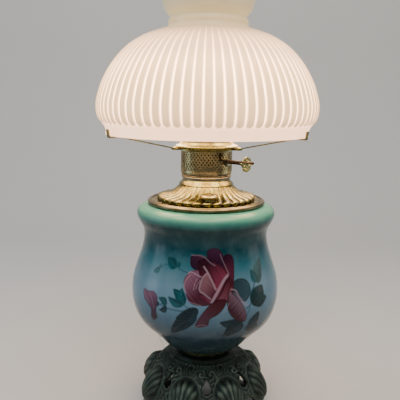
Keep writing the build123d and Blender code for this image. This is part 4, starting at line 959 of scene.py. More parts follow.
def build_vase():
    """Hollow glass vase with a hole for the tie pipe, its points close together where the spray is."""
    side = curve_through(VASE_SIDE, 10)
    run = run_along(side)
    places = [0.0]
    while places[-1] < run[-1]:
        painted = VASE_PAINTED[0] < np.interp(places[-1], run, side[:, 1]) < VASE_PAINTED[1]
        places.append(places[-1] + (VASE_FINE[0] if painted else VASE_COARSE[0]))
    side = points_at(side, run, places)
    inside = [(radius, max(level, VASE_FLOOR)) for radius, level in inset(side[::6], VASE_WALL)[::-1]
              if radius > VASE_INSIDE[0] and level < VASE_INSIDE[1]]
    outline = [(VASE_HOLE, VASE_FLOOR), (VASE_HOLE, 0.0), *side, *VASE_LIP, *inside, VASE_FLOOR_EDGE]
    front = np.arange(*VASE_FRONT, VASE_FINE[1])
    back = np.arange(VASE_FRONT[1], VASE_FRONT[0] + 360.0, VASE_COARSE[1])
    low, _ = levels("vase")
    vase = lathe("vase_glass", raised(outline, low), angles=np.radians([*front, *back]), sharp=50)
    paint_spray(vase, low)
    dress(vase, finish(painted_opal), "vase")


# Rose spray: places in millimetres on the vase, across from its front and up from its foot.
SPRAY_RADIUS = 95.0
SPRAY_STEPS = 5
# leaves: base, tip, half width, bend, shade of green
SPRAY_LEAVES = (
    ((-40, 125.5), (-56, 135.5), 6.5, 0.0, 1),
    ((-38, 126), (-36, 133), 3.0, 0.1, 1),
    ((-65, 122), (-76, 116), 3.6, 0.1, 1),
    ((-63, 123), (-68, 126), 2.0, 0.0, 1),
    ((-25, 84), (-40, 102), 6.5, -0.1, 1),
    ((-26, 84), (-46, 92), 5.0, 0.1, 1),
    ((-25, 87), (-29, 104.5), 5.0, 0.1, 1),
    ((-8, 81), (-36, 66), 7.5, 0.05, 0),
    ((-10, 72.5), (-45, 44), 8.5, -0.05, 0),
    ((-12, 80), (-24, 62), 5.5, 0.1, 0),
    ((71, 104), (88.5, 131.5), 8.5, 0.08, 2),
    ((71, 105.5), (64, 121.5), 6.0, 0.0, 1),
    ((60, 80), (80, 101), 12.5, 0.0, 3),
    ((66, 79), (86, 85), 8.0, 0.1, 3),
    ((59, 48), (72, 70), 8.5, 0.0, 0),
    ((54, 52), (76, 47), 7.5, 0.1, 0),
    ((48, 62), (17, 64), 7.0, 0.1, 0),
    ((49, 57.5), (23, 42), 9.0, -0.1, 0),
    ((47, 60), (33, 52), 6.5, 0.1, 0),
    ((-48, 80), (-59.5, 88.5), 4.5, -0.2, 1),
    ((-47, 79.5), (-58.5, 73.5), 3.6, 0.2, 0),
    ((-58, 82), (-66, 79), 3.0, 0.1, 0))
SPRAY_GREENS = ((0.04, 0.15, 0.19), (0.06, 0.27, 0.30), (0.14, 0.28, 0.29), (0.05, 0.17, 0.18))
# stems: width, line
SPRAY_STEMS = (
    (1.0,
     ((-23, 121), (-31.5, 123.5), (-39.5, 126), (-49, 128), (-58.5, 126.5), (-64, 122), (-70, 118))),
    (1.2, ((-57, 80.5), (-45.5, 77.5), (-30, 77), (-13, 77.5))),
    (0.9, ((-25, 84.5), (-18, 81), (-9.5, 80.5))),
    (1.5, ((52, 78), (58, 83), (61, 95.5), (67, 106))),
    (1.0, ((48, 60.5), (52.5, 69), (56.5, 78.5))),
    (1.0, ((51.5, 65.5), (48, 60.5), (41, 59))),
    (0.8, ((-58, 80), (-52, 83), (-46, 84))))
# petals: deep colour, light colour, where the deep and the light colour lie, outline
SPRAY_PETALS = (
    ((0.13, 0.21, 0.25), (0.19, 0.28, 0.31), (36, 108), (54, 98),
     ((34, 92), (33, 106.5), (39.5, 113), (48.5, 113.5), (55.5, 110), (59, 102), (57, 94), (50.5, 87),
      (43.5, 88))),
    ((0.16, 0.08, 0.16), (0.27, 0.13, 0.21), (-16, 128), (-2, 139),
     ((-20, 141), (-20, 129), (-9, 124), (3, 125.5), (4, 137), (-8, 142))),
    ((0.12, 0.04, 0.12), (0.26, 0.12, 0.22), (8, 130), (12, 149),
     ((1, 141), (3, 148), (11.5, 150.5), (20.5, 147), (26, 137), (23, 125), (11, 127.5), (3, 133))),
    ((0.17, 0.05, 0.13), (0.29, 0.12, 0.19), (24, 136), (34, 122),
     ((24, 138.5), (28.5, 142.5), (36, 141.5), (39.5, 134), (38, 119.5), (34, 104), (27, 109), (22, 127))),
    ((0.26, 0.11, 0.17), (0.44, 0.3, 0.38), (-8, 96), (-24, 112),
     ((-27.5, 109.5), (-26, 117), (-18, 124), (-7.5, 124), (-3.5, 114.5), (-5, 101), (3, 94), (5, 86.5),
      (-7.5, 85), (-18.5, 88.5), (-24, 99))),
    ((0.16, 0.05, 0.1), (0.42, 0.17, 0.25), (2, 133), (17, 112),
     ((-11, 134), (1.5, 138.5), (12.5, 134), (22.5, 128), (31, 117), (21, 100.5), (7.5, 88), (0.5, 91.5),
      (-7, 100), (-7.5, 117.5))),
    ((0.3, 0.14, 0.2), (0.44, 0.31, 0.35), (10, 98), (-3, 110),
     ((-2.5, 118), (2.5, 122.5), (8.5, 113), (13.5, 104.5), (10, 98), (6.5, 93), (-0.5, 97), (-6.5, 102),
      (-6.5, 111))),
    ((0.26, 0.1, 0.14), (0.42, 0.24, 0.29), (28, 112), (16, 92),
     ((29, 118.5), (34.5, 112), (35, 103), (30, 93), (22.5, 87.5), (12.5, 84.5), (7.5, 88.5), (16, 98.5),
      (23, 109.5))),
    ((0.25, 0.07, 0.11), (0.3, 0.18, 0.25), (14, 86), (-6, 62),
     ((6.5, 88), (15, 92.5), (25, 91.5), (22.5, 83), (15, 74.5), (5.5, 68.5), (2.5, 59.5), (-11.5, 58),
      (-9.5, 66), (-2.5, 77.5))),
    ((0.22, 0.07, 0.12), (0.4, 0.31, 0.37), (34, 74), (45, 84),
     ((28.5, 100.5), (34.5, 97), (43, 88), (50, 76), (52, 63.5), (46, 61.5), (34.5, 67.5), (27.5, 77),
      (25.5, 88))),
    ((0.17, 0.1, 0.17), (0.4, 0.26, 0.36), (-66, 64), (-78, 90),
     ((-87, 92.5), (-76.5, 92.5), (-67.5, 94), (-61, 88), (-61.5, 79.5), (-63, 70), (-62, 62.5),
      (-68.5, 57), (-73, 60), (-71.5, 70), (-77, 76), (-85, 82))))
# light edges of the petals: width, strength, line
SPRAY_EDGES = (
    (0.9, 0.55, ((-20, 141.5), (-8, 141.5), (0, 138.5), (5.5, 134), (12.5, 130))),
    (0.8, 0.6, ((20, 143), (23.5, 135), (27.5, 127), (30.5, 120))),
    (1.5, 0.85, ((-2.5, 129), (3, 122), (8, 113), (12.5, 104))),
    (1.5, 0.75, ((1.5, 121.5), (-3.5, 117), (-6.5, 110), (-7, 102.5), (-1.5, 99), (5.5, 93.5))),
    (2.3, 0.9, ((28.5, 118.5), (23.5, 114), (17, 105), (7.5, 90))),
    (1.1, 0.9, ((-23, 120.5), (-19, 122.5), (-14, 121), (-6, 117.5))),
    (1.1, 0.6, ((-19, 119.5), (-23.5, 115), (-26.5, 108.5), (-23.5, 99))),
    (0.8, 0.55, ((-11, 115), (-13.5, 109.5), (-14.5, 103))),
    (0.8, 0.5, ((-7, 113.5), (-10, 109), (-11.5, 104.5))),
    (0.9, 0.45, ((-21.5, 90), (-13, 87.5), (-5, 85.5))),
    (0.9, 0.4, ((28, 87.5), (25, 79.5), (19.5, 75.5))),
    (1.1, 0.75, ((31.5, 103), (37.5, 101), (41, 94), (46.5, 87), (53.5, 81))),
    (0.9, 0.45, ((36, 98.5), (42.5, 89.5), (49, 81))),
    (0.8, 0.4, ((2.5, 60), (-5, 61), (-11, 58.5))),
    (0.9, 0.45, ((-86, 92), (-82, 85), (-74, 78))),
    (0.9, 0.3, ((-76, 91), (-70, 84), (-66, 74))))
# shadows in the petals: width, strength, line
SPRAY_DARKS = (
    (1.6, 0.7, ((9, 88), (18, 98), (25, 110), (31, 118))),
    (1.6, 0.6, ((-4, 99), (4, 93.5), (9, 89))),
    (1.2, 0.6, ((-9, 113), (-9, 104), (-6, 98))),
    (1.4, 0.5, ((23, 128), (28, 119), (32, 108))),
    (1.3, 0.5, ((0, 132), (6, 122), (11, 112))),
    (1.3, 0.5, ((28, 100), (27, 88), (29, 78))))
SPRAY_STEM = (0.16, 0.30, 0.36)
SPRAY_STEM_STRENGTH = 0.85
SPRAY_DARK = (0.13, 0.04, 0.08)
SPRAY_EDGE = (0.55, 0.47, 0.53)
SPRAY_REACH = 70         # degrees from the front
FAR_OFF = 900.0          # where the brush finds no points


def spread(paint):
    """Linear colour from display values, without its alpha."""
    return tone(*paint)[:3]


class Brush:
    """Soft-edged shapes of colour laid one over another on points given in millimetres."""

    def __init__(self, places):
        self.places = places
        self.paint = np.zeros((len(places), 4))

    def near(self, line, reach):
        """Points within reach of a line's own box."""
        low, high = np.min(line, axis=0) - reach, np.max(line, axis=0) + reach
        return np.nonzero(((self.places > low) & (self.places < high)).all(axis=1))[0]

    def gap(self, chosen, line):
        """Distance of points from a line."""
        start, end = line[:-1], line[1:]
        run = end - start
        offset = self.places[chosen][:, None] - start
        part = np.clip((offset * run).sum(2) / np.maximum((run ** 2).sum(1), 1e-9), 0, 1)
        return np.linalg.norm(offset - part[..., None] * run, axis=2).min(axis=1)

    def within(self, chosen, outline):
        """Distance inside a closed outline, below 0 when outside."""
        ring = np.vstack([outline, outline[:1]])
        across, up = self.places[chosen].T
        (a, b), (c, d) = ring[:-1].T, ring[1:].T
        crossed = ((b > up[:, None]) != (d > up[:, None]))
        at = a + (up[:, None] - b) / np.where(d == b, 1e-9, d - b) * (c - a)
        inside = (crossed & (across[:, None] < at)).sum(axis=1) % 2 == 1
        return np.where(inside, 1, -1) * self.gap(chosen, ring)

    def lay(self, chosen, cover, colour):
        """Colour over what is there already."""
        shown = np.broadcast_to(colour, (len(chosen), 3)) * cover[:, None]
        self.paint[chosen] = self.paint[chosen] * (1 - cover)[:, None] + np.column_stack([shown, cover])

    def stroke(self, width, strength, colour, line):
        """Line with soft sides."""
        line = curve_through(line, SPRAY_STEPS)
        chosen = self.near(line, width * 2)
        self.lay(chosen, strength * soft_step(width, width * 0.35, self.gap(chosen, line)), colour)

    def petal(self, deep, light, dark_end, light_end, outline):
        """Closed shape that runs from a deep colour to a light one, streaked and darker at its edge."""
        outline = curve_through(outline, SPRAY_STEPS, closed=True)
        chosen = self.near(outline, 1.0)
        depth = self.within(chosen, outline)
        run = np.subtract(light_end, dark_end).astype(float)
        offset = self.places[chosen] - dark_end
        side = offset @ (-run[1], run[0]) / np.linalg.norm(run)
        streaks = 0.16 * np.sin(side * 1.9 + 2.0 * np.sin(side * 0.45))
        share = np.clip(np.clip(offset @ run / (run @ run), 0, 1) + streaks, 0, 1)
        colour = np.outer(1 - share, spread(deep)) + np.outer(share, spread(light))
        colour *= (0.55 + 0.45 * soft_step(0.0, 2.2, depth))[:, None]
        self.lay(chosen, soft_step(-0.4, 0.4, depth), colour)

    def leaf(self, base, tip, half, bend, green):
        """Toothed leaf with a midrib and side veins."""
        base, tip = np.array(base, float), np.array(tip, float)
        run = tip - base
        long = np.linalg.norm(run)
        normal = np.array((-run[1], run[0])) / long
        steps = np.linspace(0, 1, 25)
        middle = base + np.outer(steps, run) + np.outer(bend * long * np.sin(math.pi * steps), normal)
        teeth = 1 + 0.10 * np.where(np.arange(25) % 2 == 0, 1, -1)
        width = half * np.sin(math.pi * steps ** 0.75) ** 0.8 * teeth
        sides = width[:, None] * normal
        outline = np.vstack([middle + sides, (middle - sides)[::-1]])
        chosen = self.near(outline, 1.0)
        depth = self.within(chosen, outline)
        body = np.array(spread(green))
        lit = 0.75 + 0.55 * soft_step(0.0, half, (self.places[chosen] - base) @ normal)
        self.lay(chosen, soft_step(-0.5, 0.5, depth), np.outer(lit, body))
        vein = body * 1.9 + 0.02
        self.stroke(0.45, 0.7, vein, middle[:22])
        for share in (0.3, 0.5, 0.7):
            root = middle[int(share * 24)]
            for way in (1, -1):
                end = root + run * 0.2 + way * normal * half * 0.75 * math.sin(math.pi * share ** 0.75)
                self.stroke(0.35, 0.45, vein, (root, end))


def paint_spray(vase, floor):
    """Colour of the rose spray for each point of the vase, with how far it covers the ground."""
    place = points_of(vase)
    around = np.degrees(np.arctan2(place[:, 1], place[:, 0])) + 90.0
    level = (place[:, 2] - floor) / MM
    side_radius, side_level = np.transpose(VASE_SIDE)
    middle = np.interp(level, side_level, side_radius) - VASE_WALL / 2
    outside = np.hypot(place[:, 0], place[:, 1]) / MM > middle
    shown = outside & (np.abs(around) < SPRAY_REACH)
    across = np.where(shown, around * math.radians(1) * SPRAY_RADIUS, FAR_OFF)
    brush = Brush(np.stack([across, level], axis=1))
    for width, line in SPRAY_STEMS:
        brush.stroke(width, SPRAY_STEM_STRENGTH, spread(SPRAY_STEM), line)
    for base, tip, half, bend, green in SPRAY_LEAVES:
        brush.leaf(base, tip, half, bend, SPRAY_GREENS[green])
    for petal in SPRAY_PETALS:
        brush.petal(*petal)
    for width, strength, line in SPRAY_DARKS:
        brush.stroke(width, strength, spread(SPRAY_DARK), line)
    for width, strength, line in SPRAY_EDGES:
        brush.stroke(width, strength, spread(SPRAY_EDGE), line)
    attribute = vase.data.attributes.new("spray", "FLOAT_COLOR", "POINT")
    attribute.data.foreach_set("color", brush.paint.astype(np.float32).ravel())


# ---------------------------------------------------------------- metal of the font and burner
# outlines are radius and height in millimetres
CROWN_TOP = ((60.8, 0.0), (62.7, 1.0), (63.5, 2.8), (63.2, 4.4), (61.8, 5.7), (59.0, 6.5), (55.0, 7.1),
             (50.0, 8.0), (45.6, 9.8), (41.8, 12.3), (38.3, 15.4), (35.8, 18.0), (34.3, 20.0))
CROWN_SEAT = 2.0         # of the lobes over the crown's foot
CROWN_WALL = 1.4
CROWN_BORE = 28.6
CROWN_INNER = 29.5       # smallest radius of the hollow under the lobes
CROWN_OUTER = 63.5       # radius where the lobes end, and their length inwards
CROWN_WIDTH = 29.5
CROWN_DEPTH = 2.8        # of the grooves between the lobes
CROWN_TWIST = math.radians(9.0)
CROWN_LOBES = 32
CROWN_STEPS = 14         # points round each lobe


def lobe_place(angle):
    """How far an angle is from the middle of its lobe, 1 in the groove."""
    return np.abs((CROWN_LOBES * angle / (2 * math.pi) + 0.5) % 1.0 * 2 - 1)


def build_crown():
    """Swirled gadroons round the neck of the font, with rounded outer ends."""
    low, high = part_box("font_crown")
    seat = low.z + CROWN_SEAT * MM
    edge = high.x / MM
    side = curve_through(CROWN_TOP, 4)
    slope = directions(side)
    plate = [(58.6, -CROWN_SEAT), (edge, -CROWN_SEAT), (edge, 0.0)]
    under = [(max(radius, CROWN_INNER), level) for radius, level in inset(side[::3], CROWN_WALL)[::-1]
             if level > 0.5]
    outline = [*plate, *side, (CROWN_BORE, 20.0), (CROWN_BORE, 17.0), *under]

    def relief(angles, number):
        """Radius, level and turn that the lobes add at one point of the outline."""
        index = number - len(plate)
        if not 0 <= index < len(side):
            return 0.0, 0.0, 0.0
        radius, level = side[index]
        inward = max(0.0, (CROWN_OUTER - radius) / CROWN_WIDTH)
        across = lobe_place(angles)
        lobe = np.sqrt(np.clip(1 - across ** 2, 0, 1)) - 0.12 * np.exp(-((1 - across) / 0.16) ** 2)
        depth = CROWN_DEPTH * (1 - inward) ** 0.7 * min(1.0, (level + 0.6) / 1.6)
        rise = -depth * (1 - lobe) * MM
        return rise * slope[index, 1], -rise * slope[index, 0], CROWN_TWIST * inward ** 0.8

    crown = lathe("crown", raised(outline, seat), CROWN_LOBES * CROWN_STEPS, shape=relief, sharp=45)
    place = points_of(crown)
    inward = np.clip((CROWN_OUTER - np.hypot(place[:, 0], place[:, 1]) / MM) / CROWN_WIDTH, 0, 1)
    angle = np.arctan2(place[:, 1], place[:, 0]) - CROWN_TWIST * inward ** 0.8
    # painted shade: darker in the grooves between the lobes, most towards their outer ends, and full on the plate
    # under the lobes
    groove = soft_step(0.45 + 0.35 * inward, 1.0, lobe_place(angle)) * (1 - 0.6 * inward)
    add_attribute(crown, "recess", np.where(place[:, 2] > seat, groove, 1.0))
    dress(crown, finish(bright_brass), "font_crown")


def turn_metal(name, node, recipe, points):
    """Turned piece in place of a node, from points of radius and height over the node's foot."""
    return dress(lathe(name, raised(points, levels(node)[0])), finish(recipe), node)


def build_mouth_ring():
    """Ring on the vase's mouth with a round bead and a skirt that goes into it."""
    bead_size = 2.6
    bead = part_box("mouth_ring")[1].x / MM - bead_size
    points = [(66.5, 8.0), (68.7, 8.0), (68.7, 0.0), (70.2, 0.0), (70.2, 8.0), (bead + 0.8, 8.0),
              *arc(bead, 10.7, bead_size, -70, 100, 14), *arc(bead - 1.9, 13.2, 1.0, 20, 170, 6),
              (bead - 3.0, 11.0), (66.5, 11.0)]
    turn_metal("mouth_ring_bead", "mouth_ring", satin_brass, points)


def build_collar():
    """Smooth cone between crown and burner."""
    points = [(28.6, 0.0), (35.0, 0.0), (35.2, 0.6), (34.9, 1.2), (33.0, 3.0), (31.6, 4.9), (30.9, 5.6),
              (30.6, 6.5), (28.6, 6.5)]
    turn_metal("collar_cone", "burner_collar", bright_brass, points)


DRUM_SEAT = 7.0          # of the band over the drum's foot
DRUM_BEAD = 0.95
DRUM_BEAD_RADIUS = 31.2
DRUM_BEAD_LEVEL = 5.6


def build_drum():
    """Grooved band under the basket, with a row of beads."""
    look = bpy.context.scene.lamp_burner
    seat = levels("burner_drum")[0] + DRUM_SEAT * MM
    points = [(22.7, -DRUM_SEAT), (28.5, -DRUM_SEAT), (28.5, 0.0), (30.6, 0.0), (30.8, 1.6), (31.4, 2.0),
              *arc(31.0, 3.4, 1.0, -60, 60, 6), (30.9, 4.9), (30.8, 6.2), (31.3, 6.9),
              *arc(31.3, 8.0, 1.0, -50, 70, 6), (30.4, 9.0), (30.2, 9.0), (30.2, 3.0), (22.7, 3.0)]
    band = lathe("drum_band", raised(points, seat))
    beads = grow(ball("drum_bead", DRUM_BEAD * MM), ring_rows_tree(), Count=look.beads, Rows=1,
                 Radius=DRUM_BEAD_RADIUS * MM, Level=seat + DRUM_BEAD_LEVEL * MM, Pitch=0.0, Turn=0.0,
                 Material=finish(dark_brass))
    dress(join("burner_drum_band", band, beads), finish(dark_brass), "burner_drum")


def ball(name, radius):
    """Small round bead at the origin."""
    shape = bmesh.new()
    bmesh.ops.create_icosphere(shape, subdivisions=2, radius=radius)
    mesh = bpy.data.meshes.new(name)
    shape.to_mesh(mesh)
    shape.free()
    mesh.shade_smooth()
    return new_object(name, mesh)


def diamond_tile(width, height, hole, thickness):
    """One tile of a pierced wall, with a diamond hole in its middle and a quarter hole at each corner."""
    half, rise = width / 2, height / 2
    aside, up = hole * half, hole * rise
    edge = [(aside - half, -rise), (half - aside, -rise), (half, up - rise), (half, rise - up),
            (half - aside, rise), (aside - half, rise), (-half, rise - up), (-half, up - rise)]
    flat = [*edge, (0.0, -up), (aside, 0.0), (0.0, up), (-aside, 0.0)]
    count = len(flat)
    front = [(0, 1, 8), (1, 2, 9, 8), (2, 3, 9), (3, 4, 10, 9), (4, 5, 10), (5, 6, 11, 10), (6, 7, 11),
             (7, 0, 8, 11)]
    back = [tuple(i + count for i in reversed(face)) for face in front]
    sides = [(b, a, a + count, b + count) for a, b in ((1, 2), (3, 4), (5, 6), (7, 0))]
    sides += [(a, b, b + count, a + count) for a, b in ((8, 9), (9, 10), (10, 11), (11, 8))]
    vertices = [(out, y, z) for out in (0.0, -thickness) for y, z in flat]
    mesh = bpy.data.meshes.new("tile")
    mesh.from_pydata(vertices, [], [*front, *back, *sides])
    return new_object("basket_tile", mesh)


def close_ends(piece):
    """Close the four-sided holes left at the ends of a tiled wall."""
    shape = bmesh.new()
    shape.from_mesh(piece.data)
    bmesh.ops.holes_fill(shape, edges=[edge for edge in shape.edges if edge.is_boundary], sides=4)
    bmesh.ops.recalc_face_normals(shape, faces=shape.faces)
    shape.to_mesh(piece.data)
    shape.free()
    return piece


def rod_slot(width, reach):
    """Closed block where the lift rod's slot goes through the basket, with room below and above its way."""
    out = Vector(JOINTS["winder_turn"]["axis"])
    aside = out.cross(Vector((0, 0, 1)))
    offsets = points_of(frame["nodes"]["lift_rod"]) @ np.array(aside)
    middle = (offsets.min() + offsets.max()) / 2
    level, travel = sum(levels("lift_rod")) / 2, JOINTS["gallery_lift"]["range_m"][1]
    near, far = SLOT_NEAR * MM, SLOT_FAR * MM
    corners = [out * along + aside * (middle + side * width / 2) + Vector((0, 0, z))
               for z in (level - reach, level + travel + reach)
               for along, side in ((near, -1), (far, -1), (far, 1), (near, 1))]
    faces = [(0, 1, 2, 3), (4, 5, 6, 7), (0, 1, 5, 4), (1, 2, 6, 5), (2, 3, 7, 6), (3, 0, 4, 7)]
    return solid("rod_slot", corners, faces)


BASKET_RADIUS = 32.8
BASKET_INNER = 31.8
BASKET_WALL = 1.0
BASKET_HOLE = 0.58       # share of a tile
BASKET_FOOT = 3.2        # plain height under the tiles, and over them
BASKET_FLARE = 3.0
BASKET_LAP = 0.05        # of the plain ends over the tiles
SLOT_WIDTH = 3.0
SLOT_REACH = 1.5
SLOT_NEAR = 24.0         # radii between which the slot's block stands
SLOT_FAR = 40.0


def build_basket():
    """Pierced wall with a plain foot, a flared top and a slot for the lift rod."""
    look = bpy.context.scene.lamp_burner
    low, high = levels("burner_basket")
    top = (high - low) / MM
    first, last = BASKET_FOOT, top - BASKET_FLARE
    pitch = (last - first) / look.tile_rows
    width = 2 * math.pi * BASKET_RADIUS / look.tiles
    tile = diamond_tile(width * MM, pitch * MM, BASKET_HOLE, BASKET_WALL * MM)
    wall = grow(tile, ring_rows_tree(), Count=look.tiles, Rows=look.tile_rows, Radius=BASKET_RADIUS * MM,
                Level=low + (first + pitch / 2) * MM, Pitch=pitch * MM, Turn=0.0, Material=finish(worn_brass))
    steps = 4 * look.tiles
    foot = lathe("basket_foot", raised(
        [(BASKET_INNER, 0.0), (33.0, 0.0), (33.2, 0.7), (33.0, 1.4), (BASKET_RADIUS, first + BASKET_LAP),
         (BASKET_INNER, first + BASKET_LAP)], low), steps)
    flare = lathe("basket_flare", raised(
        [(BASKET_RADIUS, last - BASKET_LAP), (33.0, last + 0.6), (33.7, top - 1.4), (34.6, top - 0.6),
         (35.3, top), (34.3, top), (33.0, top - 1.2), (BASKET_INNER, last + 0.6),
         (BASKET_INNER, last - BASKET_LAP)], low), steps)
    wall = cut(join("basket_wall", foot, close_ends(wall), flare), rod_slot(SLOT_WIDTH * MM, SLOT_REACH * MM))
    dress(wall, finish(worn_brass), "burner_basket")


FINGERS = 16
FINGER_SHARE = 0.9       # of its place round the ring
FINGER_RADIUS = 31.1
FINGER_FOOT = 2.1
FINGER_WALL = 0.6
FINGER_LEAN = 0.5        # of its top inwards
FINGER_TURN = 0.2


def build_gallery():
    """Pan with a rolled bright rim, and the coronet that holds the chimney."""
    roll = 1.25
    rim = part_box("gallery_pan")[1].x / MM - roll
    points = [(32.1, 7.0), (32.1, 0.0), (36.0, 0.0), (36.1, 2.2), (37.2, 2.3), (38.1, 2.4),
              *arc(rim, 3.7, roll, -80, 120, 12), (37.4, 5.1), (36.0, 5.6), (35.0, 6.7), (34.3, 8.2),
              (34.0, 9.0), (28.6, 9.0), (28.6, 7.0)]
    turn_metal("gallery_pan_body", "gallery_pan", bright_brass, points)
    low, high = levels("chimney_holder")
    ring = [(30.5, 0.0), (31.2, 0.0), (31.35, 1.0), (31.2, 2.2), (30.5, 2.2)]
    holder = lathe("coronet_ring", raised(ring, low), 128)
    width = 2 * math.pi * 30.9 / FINGERS * FINGER_SHARE
    finger = pierced_finger(width, FINGER_FOOT, (high - low) / MM, FINGER_WALL)
    fingers = grow(finger, ring_rows_tree(), Count=FINGERS, Rows=1, Radius=FINGER_RADIUS * MM, Level=low,
                   Pitch=0.0, Turn=FINGER_TURN, Material=finish(dark_brass))
    dress(join("coronet", holder, fingers), finish(dark_brass), "chimney_holder")


def pierced_finger(width, low, high, thickness):
    """Spring finger with two rows of square holes, its top leaning in."""
    columns = np.linspace(-width / 2, width / 2, 9)
    rows = np.linspace(low, high, 8)
    outer = []
    for z in rows:
        lean = FINGER_LEAN * ((z - low) / (high - low)) ** 2
        outer += [(math.sqrt(FINGER_RADIUS ** 2 - y * y) - FINGER_RADIUS - lean, y, z) for y in columns]
    vertices = [(x * MM, y * MM, z * MM) for x, y, z in outer]
    vertices += [((x - thickness) * MM, y * MM, z * MM) for x, y, z in outer]
    count, wide = len(outer), len(columns)
    holes = {(r, c) for r in (2, 4) for c in (1, 3, 5, 7)}
    cells = {(r, c) for r in range(len(rows) - 1) for c in range(wide - 1)} - holes
    faces = []
    for r, c in sorted(cells):
        a = r * wide + c
        b, d, e = a + 1, a + wide + 1, a + wide
        faces.append((a, b, d, e))
        faces.append((e + count, d + count, b + count, a + count))
        for beside, (p, q) in (((r - 1, c), (a, b)), ((r, c + 1), (b, d)), ((r + 1, c), (d, e)),
                               ((r, c - 1), (e, a))):
            if beside not in cells:
                faces.append((q, p, p + count, q + count))
    mesh = bpy.data.meshes.new("finger")
    mesh.from_pydata(vertices, [], faces)
    return new_object("finger", mesh)


def build_filler_cap():
    """Domed cap with a tapered underside, on its own axis."""
    low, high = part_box("filler_cap")
    radius, height = (high.x - low.x) / 2 / MM, (high.z - low.z) / MM
    points = [(0.0, 3.2), (5.5, 3.2), (5.5, 0.0), (6.6, 0.0), (7.6, 1.0), (9.2, 2.2), (9.9, 2.7),
              (radius, 3.2), (radius, 3.8), (9.7, 4.5), (8.6, 5.4), (7.0, 6.3), (5.0, 7.0),
              (2.6, height - 0.15), (0.0, height)]
    cap = lathe("filler_dome", raised(points, low.z), 72, sharp=40)
    cap.data.transform(Matrix.Translation(((low.x + high.x) / 2, (low.y + high.y) / 2, 0.0)))
    dress(cap, finish(worn_brass), "filler_cap")


# ---------------------------------------------------------------- foot
# lengths in millimetres, angles in degrees
LEAF_COUNT = 8
LEAF_FIRST = -64.5       # round the lamp
LEAF_SEAT = (65.5, 45.0)
LEAF_HALF = (27.0, 20.5)
LEAF_LEAN = 58.0
LEAF_VEINS = 17
FLAME_START = 41.0       # radius where the flames between the leaves begin
SCROLLS = ((12.0, 64.0, 7.5, 1), (6.5, 75.0, 5.5, -1))  # aside, level, size and way of turning
SCROLL_PITCH = 4.2
SHELL_LEVEL = 22         # above which the foot is carved between its leaves
RINGS_RADIUS = 42.5      # within which it has rings
RINGS_PITCH = 2.6
NOT_CARVED = -2.0
CAVITY_RADIUS = 72       # of the hollow under the foot, and its level
CAVITY_LEVEL = 60
FOOT_CLEAN = 2e-6        # metres within which the casting's own points are merged


def bumps(value, width):
    """Rounded ridge of a half width about zero."""
    return np.clip(1.0 - (value / width) ** 2, 0.0, 1.0)


def flame(value, power):
    """Sharp-edged grooves between rounded ridges."""
    return (np.abs(np.cos(value)) ** power - 0.62) * 1.5


def leaf_relief(angle, radius, level):
    """Height of the veins and rims on the leaves, and where the leaves are."""
    step = 360.0 / LEAF_COUNT
    off = np.radians((angle - LEAF_FIRST + step / 2) % step - step / 2)
    lean = math.radians(LEAF_LEAN)
    side = radius * np.sin(off)
    deep, high = radius * np.cos(off) - LEAF_SEAT[0], level - LEAF_SEAT[1]
    along = high * math.sin(lean) - deep * math.cos(lean)
    out = deep * math.sin(lean) + high * math.cos(lean)
    shape = np.hypot(along / LEAF_HALF[0], side / LEAF_HALF[1])
    on_leaf = (out > -1.0) & (shape < 1.06)
    root = along + 1.1 * LEAF_HALF[0]
    fan = np.arctan2(side, root)
    reach = np.hypot(side, root) / LEAF_HALF[0]
    veins = flame(fan * LEAF_VEINS, 0.5) * np.clip(reach * 1.6, 0, 1)
    curl = 0.35 * np.sin(reach * 9.0 + 5.0 * np.abs(fan)) * np.clip(reach - 0.7, 0, 1)
    veins = (veins + curl) * np.clip((0.95 - shape) * 7, 0, 1)
    midrib = bumps(side, 1.4) * 0.4 * np.clip((0.9 - shape) * 6, 0, 1)
    rim = bumps(shape - 0.98, 0.08) * 0.55 - bumps(shape - 0.86, 0.05) * 0.5
    return np.where(on_leaf, veins + midrib + rim, 0.0), on_leaf


def scroll_relief(across, level):
    """Height of the paired scrolls between two leaves, NOT_CARVED where there is none."""
    scroll = np.full(len(level), NOT_CARVED)
    for sign in (-1, 1):
        for aside, height, size, way in SCROLLS:
            beside, above = across - sign * aside, (level - height) * 1.35
            reach, turn = np.hypot(beside, above), np.arctan2(above, beside)
            spiral = np.cos(2 * math.pi * reach / SCROLL_PITCH - sign * way * turn)
            carved = 0.1 + spiral * np.clip((size - reach) / 1.5, 0, 1)
            scroll = np.where(reach < size, carved, scroll)
    return scroll


def foot_relief(place):
    """Height of the cast leaves, scrolls, flames and rings at each point, in millimetres."""
    angle = np.degrees(np.arctan2(place[:, 1], place[:, 0]))
    radius = np.hypot(place[:, 0], place[:, 1]) / MM
    level = place[:, 2] / MM
    leaf, on_leaf = leaf_relief(angle, radius, level)
    step = 360.0 / LEAF_COUNT
    between = (angle - LEAF_FIRST) % step - step / 2
    bay = np.abs(between)
    flow = bay / 5.2 + 0.62 * np.sin(2 * math.pi * (level - 44.0) / 19.0 + bay / 7.0)
    flames = flame(math.pi * flow, 0.55) * np.clip((radius - FLAME_START) / 5.0, 0, 1)
    scroll = scroll_relief(radius * np.radians(between), level)
    carved = np.where(scroll > NOT_CARVED, scroll, flames)
    rings = 0.7 * np.cos(2 * math.pi * radius / RINGS_PITCH)
    shell = np.where(radius < RINGS_RADIUS, rings, carved)
    return leaf + np.where(~on_leaf & (level > SHELL_LEVEL), shell, 0.0)


